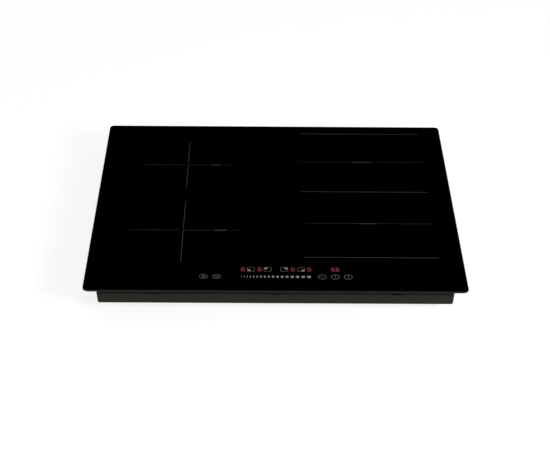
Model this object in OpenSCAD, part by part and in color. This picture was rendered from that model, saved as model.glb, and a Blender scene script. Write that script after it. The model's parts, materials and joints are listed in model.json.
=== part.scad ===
// Built-in induction hob: four zones, the right-hand pair joined as one flexible zone.
// Frame: +X right, +Y towards the back, +Z up. The origin is the centre of the plane on which the
// seal rests on the worktop, so the glass stands above z = 0 and the casing hangs below it.

/* [Glass] */
// Width of the glass plate
glass_w = 590; // [580:1:620]
// Depth of the glass plate, front to back
glass_d = 520; // [500:1:530]
// Thickness of the glass plate
glass_t = 4; // [4:0.5:6]
// Corner radius of the glass plate
glass_r = 8; // [4:1:20]
// Flat ground on the top and bottom arris of the glass
arris = 0.7; // [0.3:0.1:1.2]
// Thickness of the foam seal that rests on the worktop
seal_t = 2; // [1:0.5:3]

/* [Casing] */
// Width of the casing at its top edge
pan_w = 554; // [540:1:556]
// Depth of the casing at its top edge, front to back
pan_d = 484; // [470:1:486]
// Height of the casing's front wall below the glass
rim_h = 35.5; // [33:0.5:38]
// Height of the whole hob, glass to feet
total_h = 58; // [56:0.5:62]
// Sheet thickness of the casing
sheet = 0.8; // [0.6:0.1:1]
// Draft of the casing's side walls, in degrees
draft = 3.5; // [2:0.5:4]
// Bend radius of the casing
bend = 3; // [2:0.5:4]

/* [Cooking zones] */
// Diameter of the front left coil
coil_front_left_d = 176; // [160:1:180]
// Diameter of the rear left coil
coil_rear_left_d = 150; // [140:1:160]
// Width of each coil of the flexible zone
coil_flex_w = 200; // [180:1:204]
// Depth of each coil of the flexible zone
coil_flex_d = 186; // [170:1:190]
// Distance of the left zones' centres from the middle of the hob
left_zone_x = 149; // [145:1:152]
// Distance of the flexible zone's centre from the middle of the hob
right_zone_x = 150; // [145:1:152]
// How far a coil can be pressed down on its springs
coil_travel = 2.5; // [1:0.5:2.5]

/* [Worktop clamps] */
// Length of a clamp from its screw to its tip
clamp_l = 32; // [28:1:34]
// Width of a clamp
clamp_w = 16; // [12:1:18]
// Distance of the clamp screws from the middle of the hob, to the side
clamp_x = 261; // [259:1:262]
// Distance of the clamp screws from the middle of the hob, front to back
clamp_y = 150; // [140:1:170]

/* [Blowers] */
// Outside diameter of the impeller
impeller_d = 72; // [60:1:76]
// Number of impeller blades
blades = 30; // [20:1:36]
// Distance of each blower's axis from the middle of the hob, to the side
blower_x = 150; // [140:1:160]
// Distance of each blower's axis from the middle of the hob, to the back
blower_y = 160; // [155:1:165]

/* [Hidden] */
$fn = 48;
e = 0.01;

// levels, from the top down
glass_z = seal_t;                       // underside of the glass
pan_top = glass_z - 0.8;                // top edge of the casing
rim_z = glass_z - rim_h;                // underside of the casing's shallow rim
foot_z = glass_z + glass_t - total_h;   // where the hob stands
foot_h = 1.6;
floor_z = foot_z + foot_h;              // underside of the well's floor
rim_floor = rim_z + sheet;              // inside of the rim
well_floor = floor_z + sheet;           // inside of the well
slope = tan(draft);

// the well, where the casing is at its full depth: [half width, front y, back y]
well_top = [247, -198, 222];
well_bot = [244, -179, 220];

// glass frame
frame_x = pan_w / 2 - sheet - 1.4;      // outside of the frame's upright leg
frame_y = pan_d / 2 - sheet - 1.4;
frame_t = 0.8;
frame_leg = 17;                         // how far the upright leg hangs down
frame_top = glass_z - 1;
frame_flange = 8;

// coil stack
plate_z = -16.2;                        // underside of the support plate
plate_t = 1.2;
plate_top = plate_z + plate_t;
mica_t = 0.8;
mica_z = glass_z - 0.1 - mica_t;
wire = 3;                               // height of the litz winding
wire_pitch = 3.4;
winding_z = mica_z - wire - 0.1;
carrier_t = 5.2;
carrier_z = winding_z - carrier_t;      // underside of a coil carrier
stem_r = 2.5;
stem_clip = 2.9;                        // how far a stem's snap end reaches below the plate
hub_r = 13;                             // round hub in the middle of each carrier
sensor_r = 6;

// boards
board_t = 1.6;
board_z = well_floor + 6;
board_top = board_z + board_t;
part_top = plate_z - stem_clip - 0.6 - coil_travel;   // nothing on a board stands higher than this
part_h = part_top - board_top;

// self-tapping screws of the casing
screw_r = 1.5;
screw_l = 5.5;
screw_head_r = 2.8;
screw_head_h = 1.7;
screw_hole = 1.75;                      // clearance hole
screw_core = 1.55;                      // hole that the thread cuts into
wall_screw_y = [-150, 0, 150];
wall_screw_x = [-180, 0, 180];
wall_screw_z = -9;

// slots in the front wall that the glass frame's hooks snap into
clip_x = [-188, 0, 188];
clip_z = -14;
clip_w = 20;
clip_h = 2;
hook_w = 16;
hook_t = 0.7;
hook_z = clip_z + clip_h / 2 - 0.1 - hook_t;  // a hook's underside; its top rests just under the slot's edge

// ---------- shared shapes ----------

// flat plate with rounded corners, centred on x and y
module rounded_plate(w, d, r, h) {
  linear_extrude(h) rounded_rect(w, d, r);
}

module rounded_rect(w, d, r) {
  square([w - 2 * r, d], center = true);
  square([w, d - 2 * r], center = true);
  for (x = [-1, 1], y = [-1, 1]) translate([x * (w / 2 - r), y * (d / 2 - r)]) circle(r);
}

// flat ring between two rounded rectangles
module rounded_ring(w, d, r, band, h) {
  linear_extrude(h) difference() {
    rounded_rect(w, d, r);
    rounded_rect(w - 2 * band, d - 2 * band, max(r - band, 0.5));
  }
}

// box with drafted walls and a rounded bottom; top and bottom are [half width, front y, back y]
module pressed_form(top, top_z, bot, bot_z, r) {
  hull() {
    for (x = [-1, 1], i = [1, 2]) {
      s = i == 1 ? 1 : -1;
      translate([x * (top[0] - r), top[i] + s * r, top_z]) cylinder(r = r, h = e, $fn = 32);
      translate([x * (bot[0] - r), bot[i] + s * r, bot_z]) bowl(r);
    }
  }
}

// lower half of a ball, flat enough at the bottom to give a true floor
module bowl(r) {
  rotate_extrude($fn = 32) polygon([for (a = [0:15:90]) r * [sin(a), 1 - cos(a)], [0, r]]);
}

// bar with round ends from the origin to x = l
module round_bar(l, w, h) {
  linear_extrude(h) {
    translate([0, -w / 2]) square([l, w]);
    circle(w / 2);
    translate([l, 0]) circle(w / 2);
  }
}

// pan-head screw with a cross recess; the head's seat is at z = 0 and the shank points down
module pan_screw(r, l, head_r, head_h) {
  difference() {
    union() {
      translate([0, 0, -l]) cylinder(r = r, h = l + e);
      cylinder(r1 = head_r, r2 = head_r * 0.72, h = head_h);
    }
    for (a = [0, 90]) rotate(a) translate([-head_r * 0.5, -0.35, head_h * 0.45])
      cube([head_r, 0.7, head_h]);
  }
}

// close-coiled end to open helix: a round wire of radius w wound at radius r
module helix(r, w, h, turns, steps = 12, sides = 5) {
  n = ceil(turns * steps);
  points = [for (i = [0:n], j = [0:sides - 1])
    let (a = 360 * i / steps, b = 360 * j / sides, q = r + w * cos(b))
    [q * cos(a), q * sin(a), w + (h - 2 * w) * i / n + w * sin(b)]];
  walls = [for (i = [0:n - 1], j = [0:sides - 1])
    let (k = (j + 1) % sides)
    [i * sides + j, i * sides + k, (i + 1) * sides + k, (i + 1) * sides + j]];
  start = [for (j = [sides - 1:-1:0]) j];
  end = [for (j = [0:sides - 1]) n * sides + j];
  polyhedron(points, concat(walls, [start, end]), convexity = 8);
}

// half width or half depth of the casing's drafted wall at height z
function pan_half(half, z) = half - (pan_top - z) * slope;

// ---------- glass, seal and frame ----------

module glass_top() {
  color([0.012, 0.012, 0.014]) hull()
    for (x = [-1, 1], y = [-1, 1])
      translate([x * (glass_w / 2 - glass_r), y * (glass_d / 2 - glass_r), glass_z]) {
        cylinder(r = glass_r - arris, h = glass_t, $fn = 64);
        translate([0, 0, arris]) cylinder(r = glass_r, h = glass_t - 2 * arris, $fn = 64);
      }
}

module edge_seal() {
  color([0.09, 0.09, 0.09]) rounded_ring(glass_w - 6, glass_d - 6, 6, 8, seal_t);
}

module glass_adhesive() {
  color([0.25, 0.25, 0.26]) translate([0, 0, frame_top])
    rounded_ring(2 * frame_x - 1, 2 * frame_y - 1, 4, frame_flange - 1, glass_z - frame_top);
}

module glass_frame() {
  hook_y = -pan_half(pan_d / 2, clip_z) + 0.4;
  color([0.024, 0.024, 0.019]) difference() {
    union() {
      difference() {
        union() {
          translate([0, 0, frame_top - frame_t])
            rounded_ring(2 * frame_x, 2 * frame_y, 4, frame_flange, frame_t);
          translate([0, 0, frame_top - frame_leg])
            rounded_ring(2 * frame_x, 2 * frame_y, 4, frame_t, frame_leg);
        }
        // windows behind the slots in the casing's front wall
        for (x = clip_x) translate([x - clip_w / 2 - 2, -frame_y - 1, clip_z - clip_h / 2 - 0.3])
          cube([clip_w + 4, 3, hook_z + 0.6 + clip_h / 2 - clip_z]);
      }
      // hooks that snap over the upper edge of each slot
      for (x = clip_x) translate([x - hook_w / 2, hook_y, hook_z])
        cube([hook_w, frame_t - frame_y - hook_y, hook_t]);
    }
    for (s = [-1, 1], y = wall_screw_y) on_side(s, y) cylinder(r = screw_core, h = 8, center = true);
    for (x = wall_screw_x) on_back(x) cylinder(r = screw_core, h = 8, center = true);
  }
}

// places children on the outside of a side wall, z pointing out of the wall
module on_side(s, y) {
  translate([s * pan_half(pan_w / 2, wall_screw_z), y, wall_screw_z])
    rotate([0, s * (90 + draft), 0]) children();
}

module on_back(x) {
  translate([x, pan_half(pan_d / 2, wall_screw_z), wall_screw_z])
    rotate([-90 - draft, 0, 0]) children();
}

module casing_screw() {
  pan_screw(screw_r, screw_l, screw_head_r, screw_head_h);
}

// screws through the casing's walls, the support plate's feet and the boards
module casing_screws() {
  color([0.72, 0.73, 0.74]) {
    for (s = [-1, 1], y = wall_screw_y) on_side(s, y) translate([0, 0, 0.02]) casing_screw();
    for (x = wall_screw_x) on_back(x) translate([0, 0, 0.02]) casing_screw();
    for (p = plate_feet) translate([p[0], p[1], rim_floor + plate_t]) casing_screw();
    for (p = standoffs) translate([p[0], p[1], board_top]) casing_screw();
  }
}

// ---------- casing ----------

foot_places = [[-225, -158], [225, -158], [-225, 20], [225, 20], [-225, 200], [225, 200]];
plate_feet = [for (s = [-1, 1], y = [-95, 55, 205]) [s * 261, y]];
power_standoffs = [for (s = [-1, 1], x = [25, 225], y = [-150, 85]) [s * x, y]];
filter_standoffs = [for (x = [-58, 58], y = [106, 198]) [x, y]];
standoffs = concat(power_standoffs, filter_standoffs);
standoff_r = 3;

// opening under the mains terminals
window = [76, 30];
window_y = 166;
cover_w = 100;
cover_d = 46;
cover_screws = [for (x = [-44, 44], y = [-18, 18]) [x, window_y + y]];
cable_z = well_floor + 8.6;
cable_r = 6;
mouth_w = 30;
bush_r = 4.5;
bush_h = 3;
clamp_screw_r = 2;

module base_pan() {
  rim_top = [pan_w / 2, -pan_d / 2, pan_d / 2];
  rim_bot = [pan_half(pan_w / 2, rim_z), -pan_half(pan_d / 2, rim_z), pan_half(pan_d / 2, rim_z)];
  inset = [-sheet, sheet, -sheet];
  color([0.024, 0.024, 0.019]) difference() {
    union() {
      difference() {
        union() {
          pressed_form(rim_top, pan_top - e, rim_bot, rim_z, bend);
          pressed_form(well_top, rim_z + bend, well_bot, floor_z, bend);
          for (p = foot_places) translate([p[0], p[1], foot_z])
            cylinder(r1 = 8.5, r2 = 11, h = foot_h + 0.2);
        }
        pressed_form(rim_top + inset, pan_top + e, rim_bot + inset, rim_floor, bend - sheet);
        pressed_form(well_top + inset, rim_floor + bend, well_bot + inset, well_floor, bend - sheet);
      }
      for (p = standoffs) translate([p[0], p[1], floor_z + sheet / 2])
        cylinder(r = standoff_r, h = board_z - floor_z - sheet / 2);
      at_clamps() translate([0, 0, rim_z + sheet / 2]) cylinder(r = bush_r, h = bush_h);
    }
    for (p = foot_places) translate([p[0], p[1], foot_z + sheet])
      cylinder(r1 = 7.7, r2 = 10.2, h = foot_h + 0.2);
    for (x = clip_x) translate([x - clip_w / 2, -pan_d / 2 - 1, clip_z - clip_h / 2]) cube([clip_w, 4, clip_h]);
    for (s = [-1, 1], y = wall_screw_y) on_side(s, y) cylinder(r = screw_hole, h = 6, center = true);
    for (x = wall_screw_x) on_back(x) cylinder(r = screw_hole, h = 6, center = true);
    for (p = plate_feet) translate([p[0], p[1], rim_z - 1]) cylinder(r = screw_core, h = 4);
    for (p = standoffs) translate([p[0], p[1], floor_z - 1]) cylinder(r = screw_core, h = 12);
    for (p = cover_screws) translate([p[0], p[1], floor_z - 1]) cylinder(r = 1.4, h = 3);
    at_clamps() translate([0, 0, rim_z - 1]) cylinder(r = clamp_screw_r + 0.05, h = 8);
    translate([-window[0] / 2, window_y - window[1] / 2, floor_z - 1]) cube([window[0], window[1], 3]);
    cable_mouth();
    outlet_slots();
    for (s = [-1, 1]) translate([s * blower_x, blower_y, floor_z - 1]) intake_grille();
  }
}

module at_clamps() {
  for (x = [-1, 1], y = [-1, 1]) translate([x * clamp_x, y * clamp_y, 0]) children();
}

// notch across the bend of the rear wall, so the mains cable can leave backwards or downwards
module cable_mouth() {
  translate([-mouth_w / 2, well_bot[2] - 8, floor_z - 1]) cube([mouth_w, 14, cable_z + 8 - floor_z]);
}

// air leaves through the slanted riser between the shallow front and the well
module outlet_slots() {
  for (s = [-1, 1], i = [-9:9])
    translate([s * blower_x + i * 8 - 2, well_top[1] - 2, floor_z + 4.5]) cube([4, 24, 9]);
}

module intake_grille() {
  for (a = [0:20:340]) rotate(a) translate([24, -1.5, 0]) cube([11, 3, 3]);
  for (a = [0:30:330]) rotate(a) translate([10, -1.5, 0]) cube([10, 3, 3]);
}

// ---------- support plate ----------

function zone(i) = [[-left_zone_x, -90], [-left_zone_x, 120],
                    [right_zone_x, -68], [right_zone_x, 132]][i];
// distance of the three carrier stems from a coil's centre
function stem_ring(i) = [66, 54, 70, 70][i];
stem_angles = [90, 210, 330];

module at_stems(i) {
  translate([zone(i)[0], zone(i)[1], 0])
    for (a = stem_angles) rotate(a) translate([stem_ring(i), 0, 0]) children();
}

// where the two leads of a coil pass through the plate, seen from the coil's centre
function lead_places(i) = [[[-40, -58], [-52, -47]], [[-36, -44], [-46, -34]],
                           [[-52, -66], [-38, -66]], [[-52, -44], [-38, -44]]][i];

// flat plate with a leg down each side; three feet on each leg are screwed to the casing's rim
module support_plate() {
  leg_x = 254;
  front = -186;
  depth = 420;
  foot_w = 13;
  color([0.72, 0.73, 0.74]) difference() {
    union() {
      translate([-leg_x, front, plate_z]) cube([2 * leg_x, depth, plate_t]);
      for (s = [-1, 1]) {
        translate([s * leg_x - (s > 0 ? plate_t : 0), front, rim_floor])
          cube([plate_t, depth, plate_top - rim_floor]);
        for (p = plate_feet) if (p[0] * s > 0)
          translate([s > 0 ? leg_x - e : -leg_x - foot_w + e, p[1] - 12, rim_floor]) cube([foot_w, 24, plate_t]);
      }
    }
    for (p = plate_feet) translate([p[0], p[1], rim_floor - 1]) cylinder(r = screw_hole, h = 4);
    for (i = [0:3]) {
      at_stems(i) translate([0, 0, plate_z - 1]) cylinder(r = stem_r + 0.3, h = 4);
      translate([zone(i)[0], zone(i)[1], plate_z - 1]) cylinder(r = 3.2, h = 4);
      for (p = lead_places(i)) translate([zone(i)[0] + p[0], zone(i)[1] + p[1], plate_z - 1]) cylinder(r = 4, h = 4);
    }
    // weight relief and air windows between the coils
    for (y = [-150:60:210]) translate([0, y, plate_z - 1]) rotate(90) translate([-18, 0, 0]) round_bar(36, 14, 4);
    for (s = [-1, 1], y = [-140:60:160]) translate([s * leg_x - 5, y - 15, rim_floor + 4]) cube([10, 30, 6]);
  }
}

// ---------- control panel ----------

panel_w = 250;
panel_front = -236;
panel_back = -193;
panel_z = -8;                                          // underside of the control board
key_x = [-111.5, -91.5, 72, 92, 112];
key_y = -223;
digit_x = [-51.5, -25.5, 26, 52];
digit_y = -203;
slider_w = 110;
panel_pegs = [for (x = [-119, 119], y = [-231, -198]) [x, y]];

module control_board() {
  color([0.04, 0.2, 0.1]) difference() {
    union() {
      translate([-panel_w / 2, panel_front, panel_z]) cube([panel_w, panel_back - panel_front, board_t]);
      translate([-8, -212, panel_z - 1.2]) cube([14, 14, 1.2 + e]);
      translate([52, -214, panel_z - 1]) cube([9, 7, 1 + e]);
      for (i = [0:7]) translate([-100 + 6 * i, -209, panel_z - 0.7]) cube([2, 1.2, 0.7 + e]);
    }
    for (p = panel_pegs) translate([p[0], p[1], panel_z - 1]) cylinder(r = 1.6, h = 4);
  }
}

module panel_carrier() {
  deck = panel_z - 3.2;
  color([0.05, 0.05, 0.055]) difference() {
    union() {
      translate([-panel_w / 2 - 2, panel_front, deck - 1.5])
        cube([panel_w + 4, panel_back - panel_front, 1.5]);
      for (p = panel_pegs) translate([p[0], p[1], deck - e]) cylinder(r = 3.4, h = panel_z - deck + e);
      for (p = panel_pegs) translate([p[0], p[1], deck]) cylinder(r = 1.5, h = panel_z - deck + board_t + 1);
      for (x = [-112, -40, 40, 112], y = [-230, -206]) translate([x, y, rim_floor])
        cylinder(r = 4, h = deck - 1.4 - rim_floor);
      for (y = [panel_front, panel_back - 1.4]) translate([-panel_w / 2 - 2, y, deck - 6])
        cube([panel_w + 4, 1.4, 5]);
    }
    for (x = [-80:40:80]) translate([x - 12, -224, deck - 3]) cube([24, 14, 4]);
  }
}

module seven_segment_block(digits) {
  w = 7.6 * digits;
  difference() {
    translate([-w / 2, -6.4, 0]) cube([w, 12.8, 7]);
    for (k = [0:digits - 1]) translate([(k - (digits - 1) / 2) * 7.4, 0, 6.7]) {
      for (y = [-4.4, 0, 4.4]) translate([-1.7, y - 0.35, 0]) cube([3.4, 0.7, 1]);
      for (x = [-2.2, 2.2], y = [-2.2, 2.2]) translate([x - 0.35, y - 1.7, 0]) cube([0.7, 3.4, 1]);
    }
  }
}

module digit_displays() {
  color([0.05, 0.05, 0.05]) {
    for (x = digit_x) translate([x, digit_y, panel_z + board_t]) seven_segment_block(1);
    translate([92.5, digit_y, panel_z + board_t]) seven_segment_block(2);
  }
}

module touch_springs() {
  color([0.78, 0.74, 0.6])
    for (x = key_x) translate([x, key_y, panel_z + board_t])
      helix(4, 0.35, glass_z - panel_z - board_t - 0.05, 4, steps = 10);
}

module slider_sensor() {
  top = glass_z - 0.05;
  color([0.75, 0.55, 0.2]) {
    translate([-slider_w / 2 - 2, key_y - 6, top - 0.8]) cube([slider_w + 4, 12, 0.8]);
    translate([-slider_w / 2, key_y - 4, panel_z + board_t]) cube([slider_w, 8, top - 0.8 - panel_z - board_t]);
  }
}

// flat cable from the control board back and down to the right-hand power board
module ribbon_cable() {
  x = 62;
  t = 0.7;
  y0 = panel_back - 8;
  y1 = panel_back + 4;
  y2 = board_front + 2;
  color([0.75, 0.76, 0.78]) rotate([90, 0, 90]) translate([0, 0, x]) linear_extrude(14) polygon([
    [y0, panel_z], [y0, panel_z - 0.8 - t], [y1 - t, panel_z - 0.8 - t], [y1 - t, -24],
    [y2 - t, board_top + 8], [y2 - t, board_top], [y2, board_top], [y2, board_top + 8.3],
    [y1, -23.7], [y1, panel_z - 0.8], [y0 + t, panel_z - 0.8], [y0 + t, panel_z]]);
}

// ---------- power electronics ----------

board_front = -158;
board_back = 93;
board_in = 17;
board_out = 233;
sink_x = 128;
sink_w = 64;
sink_front = -128;
sink_back = 84;
sink_base = 3;
sink_z = board_top + 1;

module power_board(s) {
  color([0.03, 0.17, 0.08]) difference() {
    union() {
      translate([s > 0 ? board_in : -board_out, board_front, board_z])
        cube([board_out - board_in, board_back - board_front, board_t]);
      // control chip and its row of small parts
      translate([s * 60 - 9, -128, board_top - e]) cube([18, 18, 1.8]);
      for (i = [0:5]) translate([s * 50 - 21 + 7 * i, -84, board_top - e]) cube([3, 1.8, 1.2]);
      // plug header for the ribbon cable and the blower
      translate([s * 69 - 9, board_front + 2, board_top - e]) cube([18, 6, 7]);
      translate([s * 185 - 5, board_back - 10, board_top - e]) cube([10, 6, 7]);
    }
    for (p = power_standoffs) translate([p[0], p[1], board_z - 1]) cylinder(r = screw_hole, h = 4);
  }
}

module power_board_left() { power_board(-1); }
module power_board_right() { power_board(1); }

module heat_sinks() {
  fins = 11;
  pitch = (sink_w - 1.4) / (fins - 1);
  color([0.75, 0.76, 0.77]) for (s = [-1, 1])
    translate([s * sink_x, sink_back, sink_z]) rotate([90, 0, 0]) linear_extrude(sink_back - sink_front) {
      translate([-sink_w / 2, 0]) square([sink_w, sink_base]);
      for (i = [0:fins - 1]) translate([-sink_w / 2 + i * pitch, sink_base - e])
        square([1.4, part_top - sink_z - sink_base]);
      // shelf that carries the power transistors
      translate([s < 0 ? sink_w / 2 - e : -sink_w / 2 - 24 + e, 0]) square([24, sink_base]);
    }
}

// flat power package: moulded body, metal tab with a hole, three legs bent down to the board
module power_package() {
  difference() {
    translate([-8, -10, 0]) cube([16, 20, 4.8]);
    translate([0, 5, -1]) cylinder(r = 1.8, h = 8);
  }
  for (x = [-5.4, 0, 5.4]) {
    translate([x - 0.6, -17, 1]) cube([1.2, 7 + e, 0.8]);
    translate([x - 0.6, -17, board_top - sink_z - sink_base]) cube([1.2, 0.8, 1 + sink_z + sink_base - board_top + e]);
  }
}

transistor_y = [-100, -62, 20, 58];
package_x = sink_x - sink_w / 2 - 13;

module power_transistors() {
  color([0.06, 0.06, 0.06]) for (s = [-1, 1], y = transistor_y)
    translate([s * package_x, y, sink_z + sink_base]) rotate(s > 0 ? -90 : 90) power_package();
}

module bridge_rectifiers() {
  color([0.1, 0.1, 0.1]) for (s = [-1, 1])
    translate([s * package_x, -21, sink_z + sink_base]) rotate(s > 0 ? -90 : 90)
      difference() {
        translate([-12.5, -9.5, 0]) cube([25, 19, 4.6]);
        translate([0, 4, -1]) cylinder(r = 1.9, h = 8);
      }
}

// film capacitor: potted box with rounded corners
module box_capacitor(w, d, h) {
  rounded_plate(w, d, 1.2, h);
}

module film_capacitors() {
  color([0.75, 0.6, 0.08]) for (s = [-1, 1]) {
    for (y = [-60, -36, 36, 60]) translate([s * 201, y, board_top]) box_capacitor(32, 14, part_h - 1);
    translate([s * 201, 0, board_top]) box_capacitor(30, 42, part_h);
    translate([s * 40, -72, board_top]) box_capacitor(18, 8, 15);
    translate([s * 34, 60, board_top]) cylinder(r = 8, h = part_h);
  }
  color([0.75, 0.6, 0.08]) translate([-28, 126, board_top]) box_capacitor(32, 16, part_h - 1);
}

choke_places = [[-201, -110, 15], [201, -110, 15], [-34, 22, 12], [34, 22, 12], [30, 126, 13]];

module choke_cores() {
  color([0.09, 0.1, 0.11]) for (p = choke_places) translate([p[0], p[1], board_top + 2.2])
    rotate_extrude() translate([p[2] - 5, 0]) square([5, 9]);
}

module choke_windings() {
  color([0.72, 0.36, 0.14]) for (p = choke_places, a = [15:24:351])
    translate([p[0], p[1], board_top + 0.6]) rotate(a) difference() {
      translate([p[2] - 6.6, -0.8, 0]) cube([8.2, 1.6, 12.2]);
      translate([p[2] - 5.2, -2, 1.4]) cube([5.4, 4, 9.4]);
    }
}

module relays() {
  color([0.1, 0.1, 0.1]) for (s = [-1, 1]) {
    translate([s * 36 - 7, -44, board_top]) cube([14, 28, 16]);
    translate([s * 58 - 9, 66, board_top]) cube([18, 15, 15]);
  }
}

module filter_board() {
  color([0.03, 0.17, 0.08]) difference() {
    translate([-64, 100, board_z]) cube([128, 104, board_t]);
    for (p = filter_standoffs) translate([p[0], p[1], board_z - 1]) cylinder(r = screw_hole, h = 4);
    // open at the back for the terminals and the mains cable
    translate([-terminal_w / 2 - 0.5, 150, board_z - 1]) cube([terminal_w + 1, 60, 4]);
  }
}

// ---------- mains connection ----------

poles = 5;
pole_w = 11;
terminal_w = poles * pole_w;
terminal_y = 153;

module terminal_block() {
  color([0.85, 0.85, 0.82]) difference() {
    union() {
      translate([-terminal_w / 2, terminal_y, well_floor + 1]) cube([terminal_w, 22, 15]);
      // ears that sit on the filter board
      translate([-terminal_w / 2 - 8, terminal_y + 4, board_top]) cube([terminal_w + 16, 12, 3]);
    }
    for (i = [-2:2]) translate([i * pole_w, terminal_y, well_floor]) {
      translate([0, 8, 0]) cylinder(r = 3, h = 6);
      translate([0, 14, 9.5]) rotate([-90, 0, 0]) cylinder(r = 2.6, h = 10);
      if (i < 2) translate([pole_w / 2 - 0.6, -1, 0]) cube([1.2, 24, 6]);
    }
  }
  color([0.8, 0.7, 0.4]) for (i = [-2:2]) translate([i * pole_w, terminal_y + 8, well_floor + 3])
    terminal_screw();
}

// slotted clamping screw of one terminal, head facing down
module terminal_screw() {
  difference() {
    cylinder(r = 2.6, h = 3.1);
    translate([-3, -0.4, -e]) cube([6, 0.8, 0.8]);
  }
}

module terminal_cover() {
  color([0.03, 0.03, 0.028]) difference() {
    translate([0, window_y, floor_z - 1]) rounded_plate(cover_w, cover_d, 4, 1);
    for (p = cover_screws) translate([p[0], p[1], floor_z - 2]) cylinder(r = 1.7, h = 3);
    for (i = [-3:3]) translate([i * 9 - 1.5, window_y - 11, floor_z - 2]) cube([3, 22, 3]);
  }
}

module terminal_cover_screws() {
  color([0.7, 0.71, 0.72]) for (p = cover_screws) translate([p[0], p[1], floor_z - 1])
    rotate([180, 0, 0]) difference() {
      union() {
        translate([0, 0, -5]) cylinder(r = 1.3, h = 5 + e);
        cylinder(r = 2.6, h = 0.55);
      }
      for (a = [0, 90]) rotate(a) translate([-1.4, -0.3, 0.2]) cube([2.8, 0.6, 1]);
    }
}

module cable_clamp() {
  color([0.12, 0.12, 0.12]) translate([0, 190, 0]) difference() {
    translate([-17, 0, well_floor]) cube([34, 12, 2 * (cable_z - well_floor)]);
    translate([0, -1, cable_z]) rotate([-90, 0, 0]) cylinder(r = cable_r, h = 14);
    // split between the saddle and its strap, open at each side of the cable
    for (s = [-1, 1]) translate([s > 0 ? cable_r + 0.6 : -20 - cable_r - 0.6 + 2, -1, cable_z - 0.4])
      cube([18, 14, 0.8]);
    for (x = [-12.5, 12.5]) translate([x, 6, well_floor - 1]) cylinder(r = 1.6, h = 30);
  }
}

// ---------- blowers ----------

blower_h = 20;
blower_r = 44;
outlet_w = 58;
outlet_l = 64;
shaft_r = 1.5;
sleeve_r = 3;

module at_blowers() {
  for (s = [-1, 1]) translate([s * blower_x, blower_y, well_floor]) mirror([s > 0 ? 1 : 0, 0, 0]) children();
}

// outline of the scroll: a round chamber running into a straight outlet that faces the heat sink
module scroll_outline(grow) {
  circle(blower_r + grow);
  translate([blower_r - outlet_w - grow, -outlet_l]) square([outlet_w + 2 * grow, outlet_l]);
}

module blower_housings() {
  color([0.07, 0.07, 0.075]) at_blowers() {
    difference() {
      linear_extrude(blower_h - 1.2) scroll_outline(1.4);
      translate([0, 0, 1.4]) linear_extrude(blower_h) scroll_outline(0);
      translate([blower_r - outlet_w, -80, 1.4]) cube([outlet_w, 20, 30]);
      difference() {
        translate([0, 0, -1]) cylinder(r = 33, h = 4);
        translate([0, 0, -1]) cylinder(r = 14, h = 4);
        for (a = [30:120:270]) rotate(a) translate([10, -2, -1]) cube([30, 4, 4]);
      }
    }
  }
}

module blower_lids() {
  color([0.08, 0.08, 0.085]) at_blowers() translate([0, 0, blower_h - 1.2]) difference() {
    linear_extrude(1.4) scroll_outline(1.4);
    for (a = [0:60:300]) rotate(a) translate([18, -1.5, -1]) cube([8, 3, 4]);
  }
}

// stator on the housing's spider, with the shaft that the rotor turns on
module blower_motors() {
  color([0.3, 0.3, 0.32]) at_blowers() translate([0, 0, 1.4]) difference() {
    union() {
      cylinder(r = 12, h = 1.6);
      difference() {
        cylinder(r = 9.5, h = 8);
        for (a = [0:40:320]) rotate(a) translate([5.4, -0.8, 2]) cube([8, 1.6, 8]);
        translate([0, 0, 1.6]) cylinder(r = sleeve_r + 0.5, h = 9);
      }
      cylinder(r = shaft_r, h = 11.8);
    }
    translate([0, 0, -1]) cylinder(r = 0.5, h = 1.8);
  }
}

module blower_rotor() {
  r = impeller_d / 2;
  difference() {
    union() {
      // cup over the motor
      difference() {
        translate([0, 0, 4]) cylinder(r = 13.2, h = 11);
        translate([0, 0, 3]) cylinder(r = 11, h = 9.4);
      }
      // bearing sleeve
      translate([0, 0, 4]) cylinder(r = sleeve_r, h = 9);
      // back plate of the impeller
      translate([0, 0, 13.4]) cylinder(r = r, h = 1.6);
      // blades, swept back
      for (i = [0:blades - 1]) rotate(360 * i / blades + 3) translate([r - 11, 0, 4.6]) rotate(-28)
        translate([0, -0.5, 0]) cube([10.8, 1, 9.4]);
      // ring that ties the blade tips
      translate([0, 0, 4]) difference() {
        cylinder(r = r, h = 1.8);
        translate([0, 0, -1]) cylinder(r = r - 3, h = 4);
      }
    }
    translate([0, 0, 3]) cylinder(r = shaft_r + 0.05, h = 10.5);
    for (a = [0:60:300]) rotate(a) translate([17.5, 0, 12]) cylinder(r = 2.4, h = 4);
  }
}

module blower_rotor_left() {
  color([0.1, 0.1, 0.11]) translate([-blower_x, blower_y, well_floor]) blower_rotor();
}

module blower_rotor_right() {
  color([0.1, 0.1, 0.11]) translate([blower_x, blower_y, well_floor]) mirror([1, 0, 0]) blower_rotor();
}

// ---------- coil heads ----------

// outline of coil i, drawn in or out by an offset from its outer edge
module coil_outline(i, inward) {
  if (i < 2) circle((i == 0 ? coil_front_left_d : coil_rear_left_d) / 2 - inward, $fn = 96);
  else rounded_rect(coil_flex_w - 2 * inward, coil_flex_d - 2 * inward, max(48 - inward, 9));
}

// number of turns of each winding
function turns(i) = [17, 13, 19, 19][i];

// flat winding, one ring for each turn
module coil_winding(i) {
  color([0.62, 0.27, 0.1]) translate([zone(i)[0], zone(i)[1], winding_z])
    for (k = [0:turns(i) - 1]) linear_extrude(wire) difference() {
      coil_outline(i, k * wire_pitch);
      coil_outline(i, k * wire_pitch + wire);
    }
}

// ferrite bar places: [angle, start, length] from the coil's centre
function bars(i) = [for (a = [0:45:315]) [a, [30, 28, 30, 30][i], [54, 42, 58, 58][i]]];

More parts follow.
